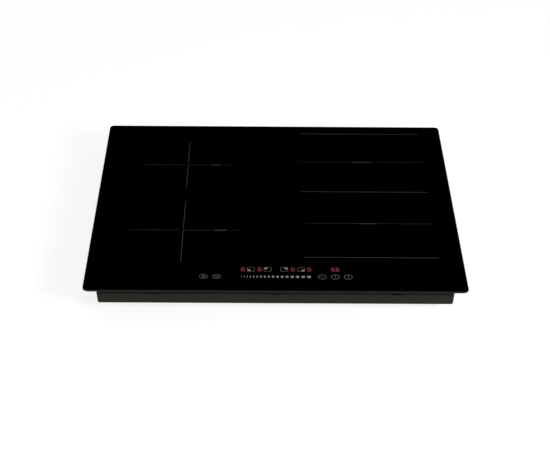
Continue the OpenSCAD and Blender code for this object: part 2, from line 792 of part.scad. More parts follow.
module ferrites(i) {
  color([0.13, 0.13, 0.14]) translate([zone(i)[0], zone(i)[1], winding_z - 4.1])
    for (b = bars(i)) rotate(b[0] + 22.5) translate([b[1], -5, 0]) cube([b[2], 10, 4]);
}

// moulded carrier under a winding, with stems that slide in the support plate
module coil_carrier(i) {
  half = [coil_front_left_d, coil_rear_left_d, coil_flex_d, coil_flex_d][i] / 2;
  color([0.85, 0.84, 0.8]) {
    translate([zone(i)[0], zone(i)[1], carrier_z]) difference() {
      union() {
        // rim, hub and eight radial troughs that hold the ferrite bars
        linear_extrude(carrier_t) difference() {
          coil_outline(i, 1);
          coil_outline(i, 4);
        }
        cylinder(r = hub_r, h = carrier_t);
        linear_extrude(1.1) difference() {
          coil_outline(i, 1);
          circle(hub_r - 1);
        }
        for (b = bars(i)) rotate(b[0] + 22.5) translate([hub_r - 2, -6.4, 0])
          cube([b[1] + b[2] + 1.4 - hub_r + 2, 12.8, 4.6]);
      }
      translate([0, 0, -1]) cylinder(r = sensor_r + 1, h = 10);
      for (b = bars(i)) rotate(b[0] + 22.5) translate([b[1] - 0.2, -5.2, 1])
        cube([b[2] + 0.4, 10.4, 10]);
      // windows in the web between the arms
      for (a = [0:45:315]) rotate(a) translate([half * 0.52, 0, -1]) cylinder(r = half * 0.085, h = 4);
      for (p = lead_places(i)) translate([p[0], p[1], -1]) cylinder(r = 3, h = 4);
    }
    at_stems(i) {
      translate([0, 0, carrier_z - 1]) cylinder(r = stem_r + 2, h = 1 + e);
      translate([0, 0, plate_z - stem_clip]) cylinder(r = stem_r, h = carrier_z - plate_z + stem_clip);
      translate([0, 0, plate_z - stem_clip]) cylinder(r1 = stem_r, r2 = stem_r + 1, h = stem_clip - 1);
    }
  }
}

// insulating sheet between a coil and the glass
module mica_sheet(i) {
  color([0.78, 0.74, 0.62]) translate([zone(i)[0], zone(i)[1], mica_z]) linear_extrude(mica_t) difference() {
    coil_outline(i, -2);
    circle(sensor_r + 1);
  }
}

// coil springs round a carrier's stems; they press the coil up against the glass
module springs(i) {
  h = carrier_z - 1 - plate_top - 0.04;
  color([0.7, 0.7, 0.72]) at_stems(i) translate([0, 0, plate_top + 0.02])
    helix(stem_r + 1.3, 0.4, h, 4.5);
}

module coil_carrier_fl() { coil_carrier(0); }
module coil_carrier_rl() { coil_carrier(1); }
module coil_carrier_fr() { coil_carrier(2); }
module coil_carrier_rr() { coil_carrier(3); }
module coil_winding_fl() { coil_winding(0); }
module coil_winding_rl() { coil_winding(1); }
module coil_winding_fr() { coil_winding(2); }
module coil_winding_rr() { coil_winding(3); }
module ferrites_fl() { ferrites(0); }
module ferrites_rl() { ferrites(1); }
module ferrites_fr() { ferrites(2); }
module ferrites_rr() { ferrites(3); }
module mica_sheet_fl() { mica_sheet(0); }
module mica_sheet_rl() { mica_sheet(1); }
module mica_sheet_fr() { mica_sheet(2); }
module mica_sheet_rr() { mica_sheet(3); }
module springs_fl() { springs(0); }
module springs_rl() { springs(1); }
module springs_fr() { springs(2); }
module springs_rr() { springs(3); }

// sensor button in a soft holder that stands on the support plate and touches the glass
module temperature_sensors() {
  color([0.8, 0.35, 0.2]) for (i = [0:3]) translate([zone(i)[0], zone(i)[1], plate_top]) {
    cylinder(r = sensor_r, h = 4);
    cylinder(r = sensor_r - 1.6, h = glass_z - plate_top - 0.1);
    translate([0, 0, -plate_t - 2]) cylinder(r = 2.8, h = plate_t + 2 + e);
  }
}

// two insulated leads from each coil down to its power board
module coil_leads() {
  color([0.5, 0.12, 0.08]) for (i = [0:3], p = lead_places(i))
    translate([zone(i)[0] + p[0], zone(i)[1] + p[1], board_top])
      cylinder(r = 1.8, h = carrier_z - coil_travel - 0.4 - board_top);
}

// ---------- worktop clamps ----------

clamp_t = 2;
clamp_z = rim_z - 10.5;                                // underside of a clamp
lip_h = 5.5;

// a clamp lies along the side of the casing at rest and swings out under the worktop
module clamp(sx, sy) {
  color([0.66, 0.67, 0.68]) translate([sx * clamp_x, sy * clamp_y, clamp_z]) rotate(sy > 0 ? -90 : 90)
    difference() {
      union() {
        linear_extrude(clamp_t) {
          circle(clamp_w / 2);
          translate([0, -clamp_w / 2]) square([clamp_l, clamp_w]);
        }
        translate([clamp_l - clamp_t, -clamp_w / 2, 0]) cube([clamp_t, clamp_w, clamp_t + lip_h]);
        for (i = [0:3]) translate([clamp_l - clamp_t, -clamp_w / 2 + 1 + 4 * i, 0])
          cube([clamp_t, 2, clamp_t + lip_h + 0.8]);
      }
      translate([0, 0, -1]) cylinder(r = clamp_screw_r + 0.06, h = 4);
    }
}

module clamp_fl() { clamp(-1, -1); }
module clamp_rl() { clamp(-1, 1); }
module clamp_fr() { clamp(1, -1); }
module clamp_rr() { clamp(1, 1); }

// tubes that hold the clamps down from the rim
module clamp_spacers() {
  low = clamp_z + clamp_t + 0.05;
  color([0.72, 0.73, 0.74]) at_clamps() translate([0, 0, low]) difference() {
    cylinder(r = 4.4, h = rim_z - low);
    translate([0, 0, -1]) cylinder(r = clamp_screw_r + 0.1, h = 12);
  }
}

// countersunk screws up through clamp and spacer into the threaded bushes of the rim
module clamp_screws() {
  head_h = 2.6;
  seat = clamp_z - 0.05;
  color([0.72, 0.73, 0.74]) at_clamps() translate([0, 0, seat]) difference() {
    union() {
      translate([0, 0, -e]) cylinder(r = clamp_screw_r, h = rim_z + 3 - seat);
      translate([0, 0, -head_h]) cylinder(r1 = 3, r2 = 4, h = head_h);
    }
    for (a = [0, 90]) rotate(a) translate([-2, -0.5, -head_h - e]) cube([4, 1, 1.4]);
  }
}

glass_top();
edge_seal();
glass_adhesive();
glass_frame();
base_pan();
casing_screws();
support_plate();
control_board();
panel_carrier();
digit_displays();
touch_springs();
slider_sensor();
ribbon_cable();
power_board_left();
power_board_right();
heat_sinks();
power_transistors();
bridge_rectifiers();
film_capacitors();
choke_cores();
choke_windings();
relays();
filter_board();
terminal_block();
terminal_cover();
terminal_cover_screws();
cable_clamp();
blower_housings();
blower_lids();
blower_motors();
blower_rotor_left();
blower_rotor_right();
temperature_sensors();
coil_leads();
coil_carrier_fl();
coil_winding_fl();
ferrites_fl();
mica_sheet_fl();
springs_fl();
coil_carrier_rl();
coil_winding_rl();
ferrites_rl();
mica_sheet_rl();
springs_rl();
coil_carrier_fr();
coil_winding_fr();
ferrites_fr();
mica_sheet_fr();
springs_fr();
coil_carrier_rr();
coil_winding_rr();
ferrites_rr();
mica_sheet_rr();
springs_rr();
clamp_fl();
clamp_rl();
clamp_fr();
clamp_rr();
clamp_spacers();
clamp_screws();
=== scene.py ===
"""Looks of a built-in induction hob: printed black glass, dark sheet-metal casing and the parts inside."""
import json
import math
import random
from collections import namedtuple

import bmesh
import bpy
from mathutils import Matrix, Vector


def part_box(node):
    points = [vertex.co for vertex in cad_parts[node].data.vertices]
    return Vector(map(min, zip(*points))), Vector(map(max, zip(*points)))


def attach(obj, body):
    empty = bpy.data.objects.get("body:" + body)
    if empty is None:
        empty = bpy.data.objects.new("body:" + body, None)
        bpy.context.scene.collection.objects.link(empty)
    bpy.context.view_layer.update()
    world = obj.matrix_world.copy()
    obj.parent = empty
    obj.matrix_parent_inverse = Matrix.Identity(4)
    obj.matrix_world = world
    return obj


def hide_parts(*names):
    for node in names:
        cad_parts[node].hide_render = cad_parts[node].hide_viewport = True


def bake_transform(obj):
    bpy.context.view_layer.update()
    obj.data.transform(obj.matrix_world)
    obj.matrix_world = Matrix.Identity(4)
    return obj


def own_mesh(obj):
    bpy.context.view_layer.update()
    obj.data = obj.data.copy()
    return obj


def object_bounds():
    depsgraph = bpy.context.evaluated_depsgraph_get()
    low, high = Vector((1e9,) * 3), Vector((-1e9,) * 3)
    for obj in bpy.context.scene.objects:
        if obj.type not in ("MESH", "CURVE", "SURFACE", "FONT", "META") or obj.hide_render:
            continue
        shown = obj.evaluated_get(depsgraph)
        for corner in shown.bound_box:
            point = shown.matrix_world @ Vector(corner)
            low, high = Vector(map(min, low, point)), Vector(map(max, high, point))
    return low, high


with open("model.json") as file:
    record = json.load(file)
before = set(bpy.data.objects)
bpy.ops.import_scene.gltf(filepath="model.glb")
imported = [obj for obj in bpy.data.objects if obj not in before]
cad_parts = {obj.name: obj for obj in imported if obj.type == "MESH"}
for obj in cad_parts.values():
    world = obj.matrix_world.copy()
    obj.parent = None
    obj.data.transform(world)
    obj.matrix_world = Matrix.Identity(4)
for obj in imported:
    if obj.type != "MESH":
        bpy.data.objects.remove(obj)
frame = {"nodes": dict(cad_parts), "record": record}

CAD_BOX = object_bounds()
MM = 0.001
CASING = "casing"
HEADS = ("fl", "rl", "fr", "rr")
RNG = random.Random(11)
NODES = frame["nodes"]

GLASS_LOW, GLASS_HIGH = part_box("glass_top")
GLASS_TOP = GLASS_HIGH.z
FLOOR_Z = CAD_BOX[0].z


# ---------------- materials

class Finish:
    """One procedural material: a Principled shader with helpers that wire its detail."""

    def __init__(self, name, color, roughness=0.5, metallic=0.0, **inputs):
        self.material = bpy.data.materials.new(name)
        self.material.use_nodes = True
        self.nodes = self.material.node_tree.nodes
        self.links = self.material.node_tree.links
        self.shader = self.nodes["Principled BSDF"]
        base = (*color, 1.0)
        self.set("Base Color", base)
        self.set("Roughness", roughness)
        self.set("Metallic", metallic)
        for key, value in inputs.items():
            self.set(key.replace("_", " "), value)
        coords = self.nodes.new("ShaderNodeTexCoord").outputs
        self.place, self.normal = coords["Object"], coords["Normal"]
        self.material.diffuse_color = base

    def set(self, socket, value):
        self.shader.inputs[socket].default_value = value

    def join(self, output, target):
        self.links.new(output, target)

    def drive(self, output, socket):
        self.join(output, self.shader.inputs[socket])

    def mapped(self, scale):
        """Object coordinates stretched by a factor on each axis."""
        node = self.nodes.new("ShaderNodeMapping")
        node.inputs["Scale"].default_value = scale
        self.join(self.place, node.inputs["Vector"])
        return node.outputs["Vector"]

    def texture(self, kind, scale, place=None):
        node = self.nodes.new("ShaderNodeTex" + kind)
        node.inputs["Scale"].default_value = scale
        self.join(place or self.place, node.inputs["Vector"])
        return node

    def noise(self, scale, detail=3.0, place=None):
        node = self.texture("Noise", scale, place)
        node.inputs["Detail"].default_value = detail
        node.inputs["Roughness"].default_value = 0.55
        return node.outputs["Fac"]

    def cells(self, scale, output="Distance"):
        return self.texture("Voronoi", scale).outputs[output]

    def waves(self, scale, direction="X", distortion=0.0):
        node = self.texture("Wave", scale)
        node.bands_direction = direction
        node.inputs["Distortion"].default_value = distortion
        return node.outputs["Fac"]

    def remap(self, value, low, high, source=(0.0, 1.0)):
        node = self.nodes.new("ShaderNodeMapRange")
        node.inputs["From Min"].default_value = source[0]
        node.inputs["From Max"].default_value = source[1]
        node.inputs["To Min"].default_value = low
        node.inputs["To Max"].default_value = high
        self.join(value, node.inputs["Value"])
        return node.outputs["Result"]

    def calc(self, operation, a, b=None):
        node = self.nodes.new("ShaderNodeMath")
        node.operation = operation
        for socket, value in zip(node.inputs, (a, b)):
            if isinstance(value, (int, float)):
                socket.default_value = value
            elif value is not None:
                self.join(value, socket)
        return node.outputs["Value"]

    def blend(self, factor, first, second):
        """Colour between two; each is a tuple or another colour output."""
        node = self.nodes.new("ShaderNodeMix")
        node.data_type = "RGBA"
        self.join(factor, node.inputs["Factor"])
        for socket, value in zip((node.inputs[6], node.inputs[7]), (first, second)):
            if isinstance(value, tuple):
                socket.default_value = (*value, 1.0)
            else:
                self.join(value, socket)
        return node.outputs[2]

    def bump(self, height, strength, distance):
        """Fine relief; distance is its depth in metres."""
        node = self.nodes.new("ShaderNodeBump")
        node.inputs["Strength"].default_value = strength
        node.inputs["Distance"].default_value = distance
        self.join(height, node.inputs["Height"])
        self.drive(node.outputs["Normal"], "Normal")

    def z_of(self, vector):
        node = self.nodes.new("ShaderNodeSeparateXYZ")
        self.join(vector, node.inputs["Vector"])
        return node.outputs["Z"]


def shade(color, factor):
    return tuple(min(1.0, c * factor) for c in color)


def mottled(finish, color, spread, scale):
    """Gentle colour variation round a base colour."""
    spotted = finish.blend(finish.noise(scale), shade(color, 1 - spread), shade(color, 1 + spread))
    finish.drive(spotted, "Base Color")


def black_glass():
    """Opaque black glass-ceramic: polished face, satin ground edge, faint wiping marks."""
    face, ground = (0.0002, 0.0002, 0.0002), (0.0066, 0.0066, 0.0056)
    finish = Finish("black_glass", face, 0.05, IOR=1.5)
    facing_up = finish.calc("ABSOLUTE", finish.z_of(finish.normal))
    edge = finish.remap(facing_up, 1.0, 0.0, (0.2, 0.96))
    grain = finish.noise(2600, 2.0)
    ground_tone = finish.blend(grain, shade(ground, 0.75), shade(ground, 1.25))
    finish.drive(finish.blend(edge, face, ground_tone), "Base Color")
    wiping = finish.noise(9, 4.0, place=finish.mapped((1.0, 3.2, 1.0)))
    polished = finish.remap(wiping, 0.035, 0.075, (0.3, 0.7))
    finish.drive(finish.calc("MAXIMUM", polished, finish.calc("MULTIPLY", edge, 0.55)), "Roughness")
    finish.drive(finish.remap(edge, 0.5, 0.18), "Specular IOR Level")
    finish.bump(finish.calc("MULTIPLY", grain, edge), 0.2, 0.00005)
    return finish.material


def printed_enamel(name, color):
    """Fired ceramic print: matt, with the slight unevenness of screen printing."""
    finish = Finish(name, color, 0.5, IOR=1.45)
    mottled(finish, color, 0.10, 1400)
    finish.bump(finish.noise(3200, 2.0), 0.15, 0.00002)
    return finish.material


def lit_print(name, color, strength, printed=0.8):
    """Print or window that is lit from below; printed is the share of its colour seen when unlit."""
    finish = Finish(name, shade(color, printed), 0.45)
    glow = finish.blend(finish.noise(700, 1.0), shade(color, 0.86), color)
    finish.drive(glow, "Emission Color")
    finish.set("Emission Strength", strength)
    return finish.material


def display_halo(color, strength):
    """Stray light round a display, fading out to the black of the glass."""
    finish = Finish("display_halo", (0.0002, 0.0002, 0.0002), 0.9)
    finish.set("Specular IOR Level", 0.0)
    fade = finish.nodes.new("ShaderNodeAttribute")
    fade.attribute_name = "glow"
    finish.drive(finish.blend(fade.outputs["Fac"], (0.0, 0.0, 0.0), color), "Emission Color")
    finish.set("Emission Strength", strength)
    return finish.material


def powder_coat():
    """Dark olive grey powder coat with orange peel; painted shade darkens the wall and dims its reflection
    where the glass overhangs it.
    """
    color = (0.0083, 0.0085, 0.0046)
    shadow_from, shadow_to = -0.0165, -0.0115       # heights between which the painted overhang shade sets in
    finish = Finish("grey_enamel", color, 0.5)
    # painted shade: the wall's colour and reflection darken towards its top, under the glass overhang
    painted_overhang_shade = finish.remap(finish.z_of(finish.place), 1.0, 0.25, (shadow_from, shadow_to))
    finish.drive(finish.calc("MULTIPLY", painted_overhang_shade, 0.15), "Specular IOR Level")
    cloud = finish.blend(finish.noise(45), shade(color, 0.9), shade(color, 1.1))
    finish.drive(finish.blend(painted_overhang_shade, shade(color, 0.2), cloud), "Base Color")
    peel = finish.noise(1500, 2.0)
    dust = finish.cells(4200)
    finish.drive(finish.remap(finish.noise(120), 0.42, 0.6), "Roughness")
    finish.bump(finish.calc("ADD", peel, finish.calc("MULTIPLY", dust, 0.35)), 0.35, 0.00012)
    return finish.material


def zinc_sheet(name, color, rough=0.38):
    """Hot-dip galvanised sheet: large crystals of slightly different brightness."""
    finish = Finish(name, color, rough, 0.9)
    crystal = finish.cells(150, "Color")
    tone = finish.remap(crystal, 0.0, 1.0)
    finish.drive(finish.blend(tone, shade(color, 0.72), shade(color, 1.1)), "Base Color")
    finish.drive(finish.remap(crystal, rough - 0.1, rough + 0.14), "Roughness")
    finish.bump(finish.noise(900), 0.12, 0.00005)
    return finish.material


def plated(name, color, rough=0.28):
    """Bright zinc or tin plating with fine turning marks."""
    finish = Finish(name, color, rough, 1.0)
    mottled(finish, color, 0.12, 260)
    rings = finish.waves(900, "Z", 1.2)
    finish.drive(finish.remap(finish.noise(420), rough - 0.08, rough + 0.16), "Roughness")
    finish.bump(rings, 0.15, 0.00004)
    return finish.material


def rolled_aluminium(name, color, stretch):
    """Aluminium with drawing lines along one direction."""
    rough = 0.34
    finish = Finish(name, color, rough, 1.0)
    lines = finish.noise(240, 3.0, place=finish.mapped(stretch))
    finish.drive(finish.blend(lines, shade(color, 0.82), shade(color, 1.1)), "Base Color")
    finish.drive(finish.remap(lines, rough - 0.08, rough + 0.14), "Roughness")
    finish.bump(lines, 0.2, 0.00006)
    return finish.material


def moulded_plastic(name, color, rough=0.5, spark=0.12):
    """Injection-moulded plastic with spark-eroded grain."""
    finish = Finish(name, color, rough)
    mottled(finish, color, 0.06, 70)
    grain = finish.noise(2400, 3.0)
    finish.drive(finish.remap(finish.noise(260), rough - 0.07, rough + 0.1), "Roughness")
    finish.bump(grain, spark, 0.00006)
    return finish.material


def soft_rubber(name, color, pores=0.5, scale=1700, sheen=0.15):
    """Foam or silicone, matt with small pores."""
    finish = Finish(name, color, 0.85)
    mottled(finish, color, 0.18, 900)
    finish.bump(finish.cells(scale), pores, 0.00015)
    finish.set("Sheen Weight", sheen)
    finish.set("Specular IOR Level", 0.2)
    return finish.material


def solder_mask():
    """Green circuit board with copper tracks under the lacquer."""
    green, track = (0.012, 0.10, 0.045), (0.03, 0.20, 0.085)
    finish = Finish("circuit_board", green, 0.32)
    grid = finish.texture("Brick", 70)
    grid.offset, grid.squash, grid.squash_frequency = 0.37, 0.45, 3
    for socket, value in (("Mortar Size", 0.012), ("Brick Width", 1.3), ("Row Height", 0.1)):
        grid.inputs[socket].default_value = value
    planes = finish.remap(finish.noise(38, 0.0), 0.0, 1.0, (0.50, 0.52))
    tracks = finish.calc("MAXIMUM", grid.outputs["Fac"], planes)
    finish.drive(finish.blend(tracks, green, track), "Base Color")
    finish.bump(tracks, 0.4, 0.00004)
    finish.set("Coat Weight", 0.4)
    return finish.material


def stranded_copper(name, color, rough=0.35):
    """Varnished copper strands."""
    finish = Finish(name, color, rough, 0.85)
    mottled(finish, color, 0.22, 1300)
    finish.bump(finish.noise(3800, 2.0), 0.4, 0.0001)
    finish.set("Coat Weight", 0.3)
    return finish.material


def sintered(name, color):
    """Pressed and fired ferrite: charcoal, slightly speckled."""
    finish = Finish(name, color, 0.62, 0.15)
    mottled(finish, color, 0.25, 2300)
    finish.bump(finish.noise(1900, 4.0), 0.25, 0.00008)
    return finish.material


def mica_board():
    """Pressed mica flakes: warm silver mottling."""
    color, flakes_per_m = (0.52, 0.46, 0.34), 520
    finish = Finish("mica", color, 0.4)
    flakes = finish.cells(flakes_per_m, "Color")
    tone = finish.remap(flakes, 0, 1)
    finish.drive(finish.blend(tone, shade(color, 0.78), shade(color, 1.15)), "Base Color")
    finish.drive(finish.remap(flakes, 0.25, 0.6), "Roughness")
    finish.bump(finish.cells(flakes_per_m), 0.2, 0.00008)
    return finish.material


def flat_cable_skin():
    """Grey ribbon cable with one ridge per core; painted shade darkens the grooves between the ridges."""
    color, cores_per_m = (0.5, 0.51, 0.53), 1270
    finish = Finish("ribbon", color, 0.45)
    cores = finish.waves(cores_per_m / (2 * math.pi))
    # painted shade: darker in the grooves, lighter on the ridges
    finish.drive(finish.blend(cores, shade(color, 0.7), shade(color, 1.08)), "Base Color")
    finish.bump(cores, 0.6, 0.0003)
    return finish.material


FINISHES = {
    "black_glass": black_glass(),
    "grey_enamel": powder_coat(),
    "circuit_board": solder_mask(),
    "ribbon": flat_cable_skin(),
    "mica": mica_board(),
}
for maker, name, *settings in (
    # maker, name, colour, then the maker's other settings
    (soft_rubber, "foam_seal", (0.006, 0.006, 0.006), 0.5, 1700, 0.0),
    (soft_rubber, "silicone", (0.10, 0.10, 0.11), 0.15, 500),
    (soft_rubber, "sensor_rubber", (0.42, 0.08, 0.03), 0.2),
    (soft_rubber, "lead_sleeve", (0.24, 0.02, 0.015), 0.15),
    (zinc_sheet, "galvanised_steel", (0.56, 0.57, 0.58)),
    (zinc_sheet, "lamination", (0.14, 0.14, 0.15), 0.5),
    (plated, "zinc_fastener", (0.62, 0.63, 0.65)),
    (plated, "contact_spring", (0.74, 0.66, 0.42), 0.2),
    (plated, "spring_steel", (0.48, 0.48, 0.50), 0.3),
    (rolled_aluminium, "aluminium_sheet", (0.70, 0.71, 0.72), (0.25, 6.0, 1.0)),
    (rolled_aluminium, "extruded_aluminium", (0.68, 0.69, 0.71), (6.0, 0.2, 6.0)),
    (moulded_plastic, "white_plastic", (0.70, 0.70, 0.67)),
    (moulded_plastic, "black_plastic", (0.022, 0.022, 0.024), 0.46, 0.2),
    (moulded_plastic, "display_plastic", (0.02, 0.02, 0.021), 0.3, 0.05),
    (moulded_plastic, "sensor_film", (0.42, 0.25, 0.07), 0.35, 0.1),
    (moulded_plastic, "package_epoxy", (0.018, 0.018, 0.019), 0.6, 0.3),
    (moulded_plastic, "capacitor_case", (0.60, 0.40, 0.03), 0.28, 0.05),
    (moulded_plastic, "coil_plastic", (0.62, 0.60, 0.54), 0.55, 0.25),
    (sintered, "ferrite", (0.035, 0.035, 0.038)),
    (stranded_copper, "copper_wire", (0.66, 0.25, 0.07), 0.22),
    (stranded_copper, "litz_wire", (0.48, 0.17, 0.05)),
):
    FINISHES[name] = maker(name, *settings)
for entry in frame["record"]["subparts"]:
    slots = NODES[entry["node"]].data.materials
    slots.clear()
    slots.append(FINISHES[entry["material_slot"]])


# ---------------- shared shapes

def piece(name, bm, finish, body=CASING, smooth=False):
    """Turns a bmesh into a piece on a body. finish is a material, or a key of FINISHES and its slot."""
    slot = finish if isinstance(finish, str) else None
    mesh = bpy.data.meshes.new(name)
    bmesh.ops.recalc_face_normals(bm, faces=bm.faces)
    for face in bm.faces:
        face.smooth = smooth
    bm.to_mesh(mesh)
    bm.free()
    mesh.materials.append(FINISHES[slot] if slot else finish)
    made = bpy.data.objects.new(name, mesh)
    bpy.context.scene.collection.objects.link(made)
    if body:
        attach(made, body)
    return made


def bridge(bm, first, second):
    """Faces between two closed rings of vertices."""
    for i, j in zip(range(len(first)), [*range(1, len(first)), 0]):
        bm.faces.new((first[i], first[j], second[j], second[i]))


def skin(bm, rings):
    """Closed solid over a row of rings of vertices."""
    for first, second in zip(rings, rings[1:]):
        bridge(bm, first, second)
    bm.faces.new(list(reversed(rings[0])))
    bm.faces.new(rings[-1])


def prism(bm, outline, low, high):
    """Closed slab over an outline of (x, y) points."""
    bottom = [bm.verts.new((x, y, low)) for x, y in outline]
    top = [bm.verts.new((x, y, high)) for x, y in outline]
    bm.faces.new(list(reversed(bottom)))
    bm.faces.new(top)
    bridge(bm, bottom, top)


def band(bm, outer, inner, low, high):
    """Closed slab between two outlines with the same number of points."""
    count = len(outer)
    rings = [[bm.verts.new((x, y, z)) for x, y in line]
             for line, z in ((outer, low), (outer, high), (inner, high), (inner, low))]
    for i in range(count):
        j = (i + 1) % count
        for k in range(4):
            first, second = rings[k], rings[(k + 1) % 4]
            bm.faces.new((first[i], first[j], second[j], second[i]))


def polar(x, y, radius, angle):
    """Point on a circle round (x, y)."""
    return x + radius * math.cos(angle), y + radius * math.sin(angle)


def circle_points(x, y, radius, steps, start=0.0, arc=360.0):
    """Points round a circle or, with both its ends, along an arc. Angles are in degrees."""
    count = steps if abs(arc) >= 360.0 else steps + 1
    return [polar(x, y, radius, math.radians(start + arc * i / steps)) for i in range(count)]


def rounded_box(x, y, w, d, radius, steps=5):
    """Outline of a rectangle with rounded corners."""
    points = []
    flat_w, flat_d = w / 2 - radius, d / 2 - radius
    for cx, cy, start in ((1, 1, 0), (-1, 1, 90), (-1, -1, 180), (1, -1, 270)):
        points += circle_points(x + cx * flat_w, y + cy * flat_d, radius, steps, start, 90)
    return points


def rectangle(x0, y0, x1, y1):
    return [(x0, y0), (x1, y0), (x1, y1), (x0, y1)]


def stroke(bm, points, width, low, high):
    """Closed slab that follows an open line with mitred corners."""
    left, right = [], []
    last = len(points) - 1
    for i, point in enumerate(points):
        here = Vector(point)
        before = (here - Vector(points[i - 1])).normalized() if i > 0 else None
        after = (Vector(points[i + 1]) - here).normalized() if i < last else None
        along = ((before or after) + (after or before)).normalized()
        side = Vector((-along.y, along.x))
        straight = before or after
        reach = width / 2 / max(0.3, abs(along.dot(straight)))
        left.append(tuple(here + side * reach))
        right.append(tuple(here - side * reach))
    prism(bm, right + left[::-1], low, high)


def scaled(points):
    """Millimetres to metres."""
    return [(x * MM, y * MM) for x, y in points]


# ---------------- printed glass

PRINT_LOW = GLASS_TOP + 0.01 * MM
PRINT_HIGH = GLASS_TOP + 0.05 * MM
HALO_LOW = GLASS_TOP + 0.001 * MM
HALO_HIGH = GLASS_TOP + 0.006 * MM
LINE = 1.0 * MM                       # width of the printed zone lines
THIN_LINE = 0.65 * MM                 # arms of the crosses that run from side to side
MARK = printed_enamel("print_zone_grey", (0.030, 0.030, 0.030))
LABEL_MARK = printed_enamel("print_label_grey", (0.048, 0.048, 0.048))
FLEX_MARK = printed_enamel("print_flex_grey", (0.039, 0.039, 0.039))
DOT_MARK = printed_enamel("print_dot_grey", (0.105, 0.105, 0.105))
KEY_MARK = lit_print("print_key_white", (0.148, 0.148, 0.148), 0.20)
BAR_MARK = lit_print("print_slider_white", (0.19, 0.19, 0.19), 0.20)
RED_LIGHT = lit_print("digit_light", (1.0, 0.28, 0.33), 0.165, 0.02)
RED_HALO = display_halo((1.0, 0.0, 0.0), 0.028)


def print_stroke(bm, points, width=LINE):
    stroke(bm, scaled(points), width, PRINT_LOW, PRINT_HIGH)


def print_area(bm, outline):
    prism(bm, scaled(outline), PRINT_LOW, PRINT_HIGH)


def print_frame(bm, outer, inner):
    band(bm, scaled(outer), scaled(inner), PRINT_LOW, PRINT_HIGH)


def label_dashes(bm, x0, x1, y):
    """Two rows of plain dashes in place of a small caption."""
    tall, gap, dashes, filled = 1.1, 2.6, 5, 0.72
    for row, share in ((gap / 2, 1.0), (-gap / 2, 0.86)):
        width = (x1 - x0) * share
        start = (x0 + x1 - width) / 2
        dash = width / dashes
        for k in range(dashes):
            print_area(bm, rectangle(start + k * dash, y + row - tall / 2,
                                     start + (k + filled) * dash, y + row + tall / 2))


def zone_cross(name, x, y, half_w, half_d, label):
    """Cross of a round zone: two arms stop short of the centre, two meet in a small bend."""
    gap, bend, label_gap = 6.0, 3.0, 4
    bm = bmesh.new()
    print_stroke(bm, [(x - half_w, y), (x - gap, y)], THIN_LINE)
    print_stroke(bm, [(x, y + half_d), (x, y + gap)])
    label_start, label_end = label
    corner = circle_points(x + bend, y - bend, bend, 8, 180, -90)
    print_stroke(bm, [(x, y - half_d)] + corner)
    print_stroke(bm, [corner[-1], (label_start - label_gap, y)], THIN_LINE)
    print_stroke(bm, [(label_end + label_gap, y), (x + half_w, y)], THIN_LINE)
    piece(name, bm, MARK)
    captions = bmesh.new()
    label_dashes(captions, label_start, label_end, y)
    piece(name + "_label", captions, LABEL_MARK)


def flex_zone():
    """Three solid lines bound the two halves of the flexible zone; a dotted line runs through each half."""
    left, right, centre = 44.5, 256.0, 150.3
    solid_rows, dotted_rows = (232.7, 32.3, -167.9), (132.3, -67.8)
    bm = bmesh.new()
    for y in solid_rows:
        print_stroke(bm, [(left, y), (right, y)])
    piece("flex_zone_lines", bm, FLEX_MARK)
    pitch, dot, label_half = 4.3, 0.52, 17.0
    dash, dash_half_w, dash_half_d = 5.4, 5.4 * 0.38, 0.8
    dots = bmesh.new()
    labels = bmesh.new()
    steps = int((right - left) / pitch)
    for y in dotted_rows:
        for k in range(steps + 1):
            x = left + (right - left - steps * pitch) / 2 + k * pitch
            if abs(x - centre) > label_half:
                print_area(dots, circle_points(x, y, dot, 10))
        for k in range(-3, 3):
            middle = centre + (k + 0.5) * dash
            print_area(labels, rectangle(middle - dash_half_w, y - dash_half_d,
                                         middle + dash_half_w, y + dash_half_d))
    piece("flex_zone_dots", dots, DOT_MARK)
    piece("flex_zone_labels", labels, LABEL_MARK)


KEY_ROW = -223.0                      # y of the touch keys and the slider
DIGIT_ROW = -202.6                    # y of the digits and the zone icons
KEY_LINE = 0.5 * MM


def touch_keys():
    """Five round keys: lock, keep-warm, pan bridge, timer and power."""
    lock, warm, bridge, timer, power = -111.3, -91.2, 72.1, 92.0, 112.2
    key_radius, shackle_radius, half_line = 6.1, 1.4, KEY_LINE / MM / 2
    y = KEY_ROW
    bm = bmesh.new()
    for x in (lock, warm, bridge, timer, power):
        print_frame(bm, circle_points(x, y, key_radius + half_line, 48),
                    circle_points(x, y, key_radius - half_line, 48))
    # lock: body and shackle
    print_frame(bm, rounded_box(lock, y - 1.4, 4.6, 3.4, 0.5, 3),
                rounded_box(lock, y - 1.4, 3.6, 2.4, 0.3, 3))
    arch = circle_points(lock, y + 1.9, shackle_radius, 12, 0, 180)
    shackle = [(lock + shackle_radius, y + 0.3)] + arch + [(lock - shackle_radius, y + 0.3)]
    print_stroke(bm, shackle, KEY_LINE)
    # keep-warm: pan over three wavy lines
    pan = ((-2.8, 3.0), (-2.5, 0.6), (2.5, 0.6), (2.8, 3.0))
    print_stroke(bm, [(warm + dx, y + dy) for dx, dy in pan], KEY_LINE)
    for k in (-1, 0, 1):
        steam = [(warm + k * 1.7 + 0.4 * math.sin(t * 1.6), y - 3.6 + t * 0.65) for t in range(5)]
        print_stroke(bm, steam, 0.42 * MM)
    # bridge: one flat bar
    print_stroke(bm, [(bridge - 3.4, y - 0.4), (bridge + 3.4, y - 0.4)], 0.22 * MM)
    # timer: clock hands
    print_stroke(bm, [(timer - 0.2, y + 4.6), (timer - 0.2, y + 0.2), (timer + 1.7, y - 2.2)], 0.45 * MM)
    # power: upright bar
    print_stroke(bm, [(power, y + 4.2), (power, y - 4.2)], 0.65 * MM)
    piece("touch_key_symbols", bm, KEY_MARK)


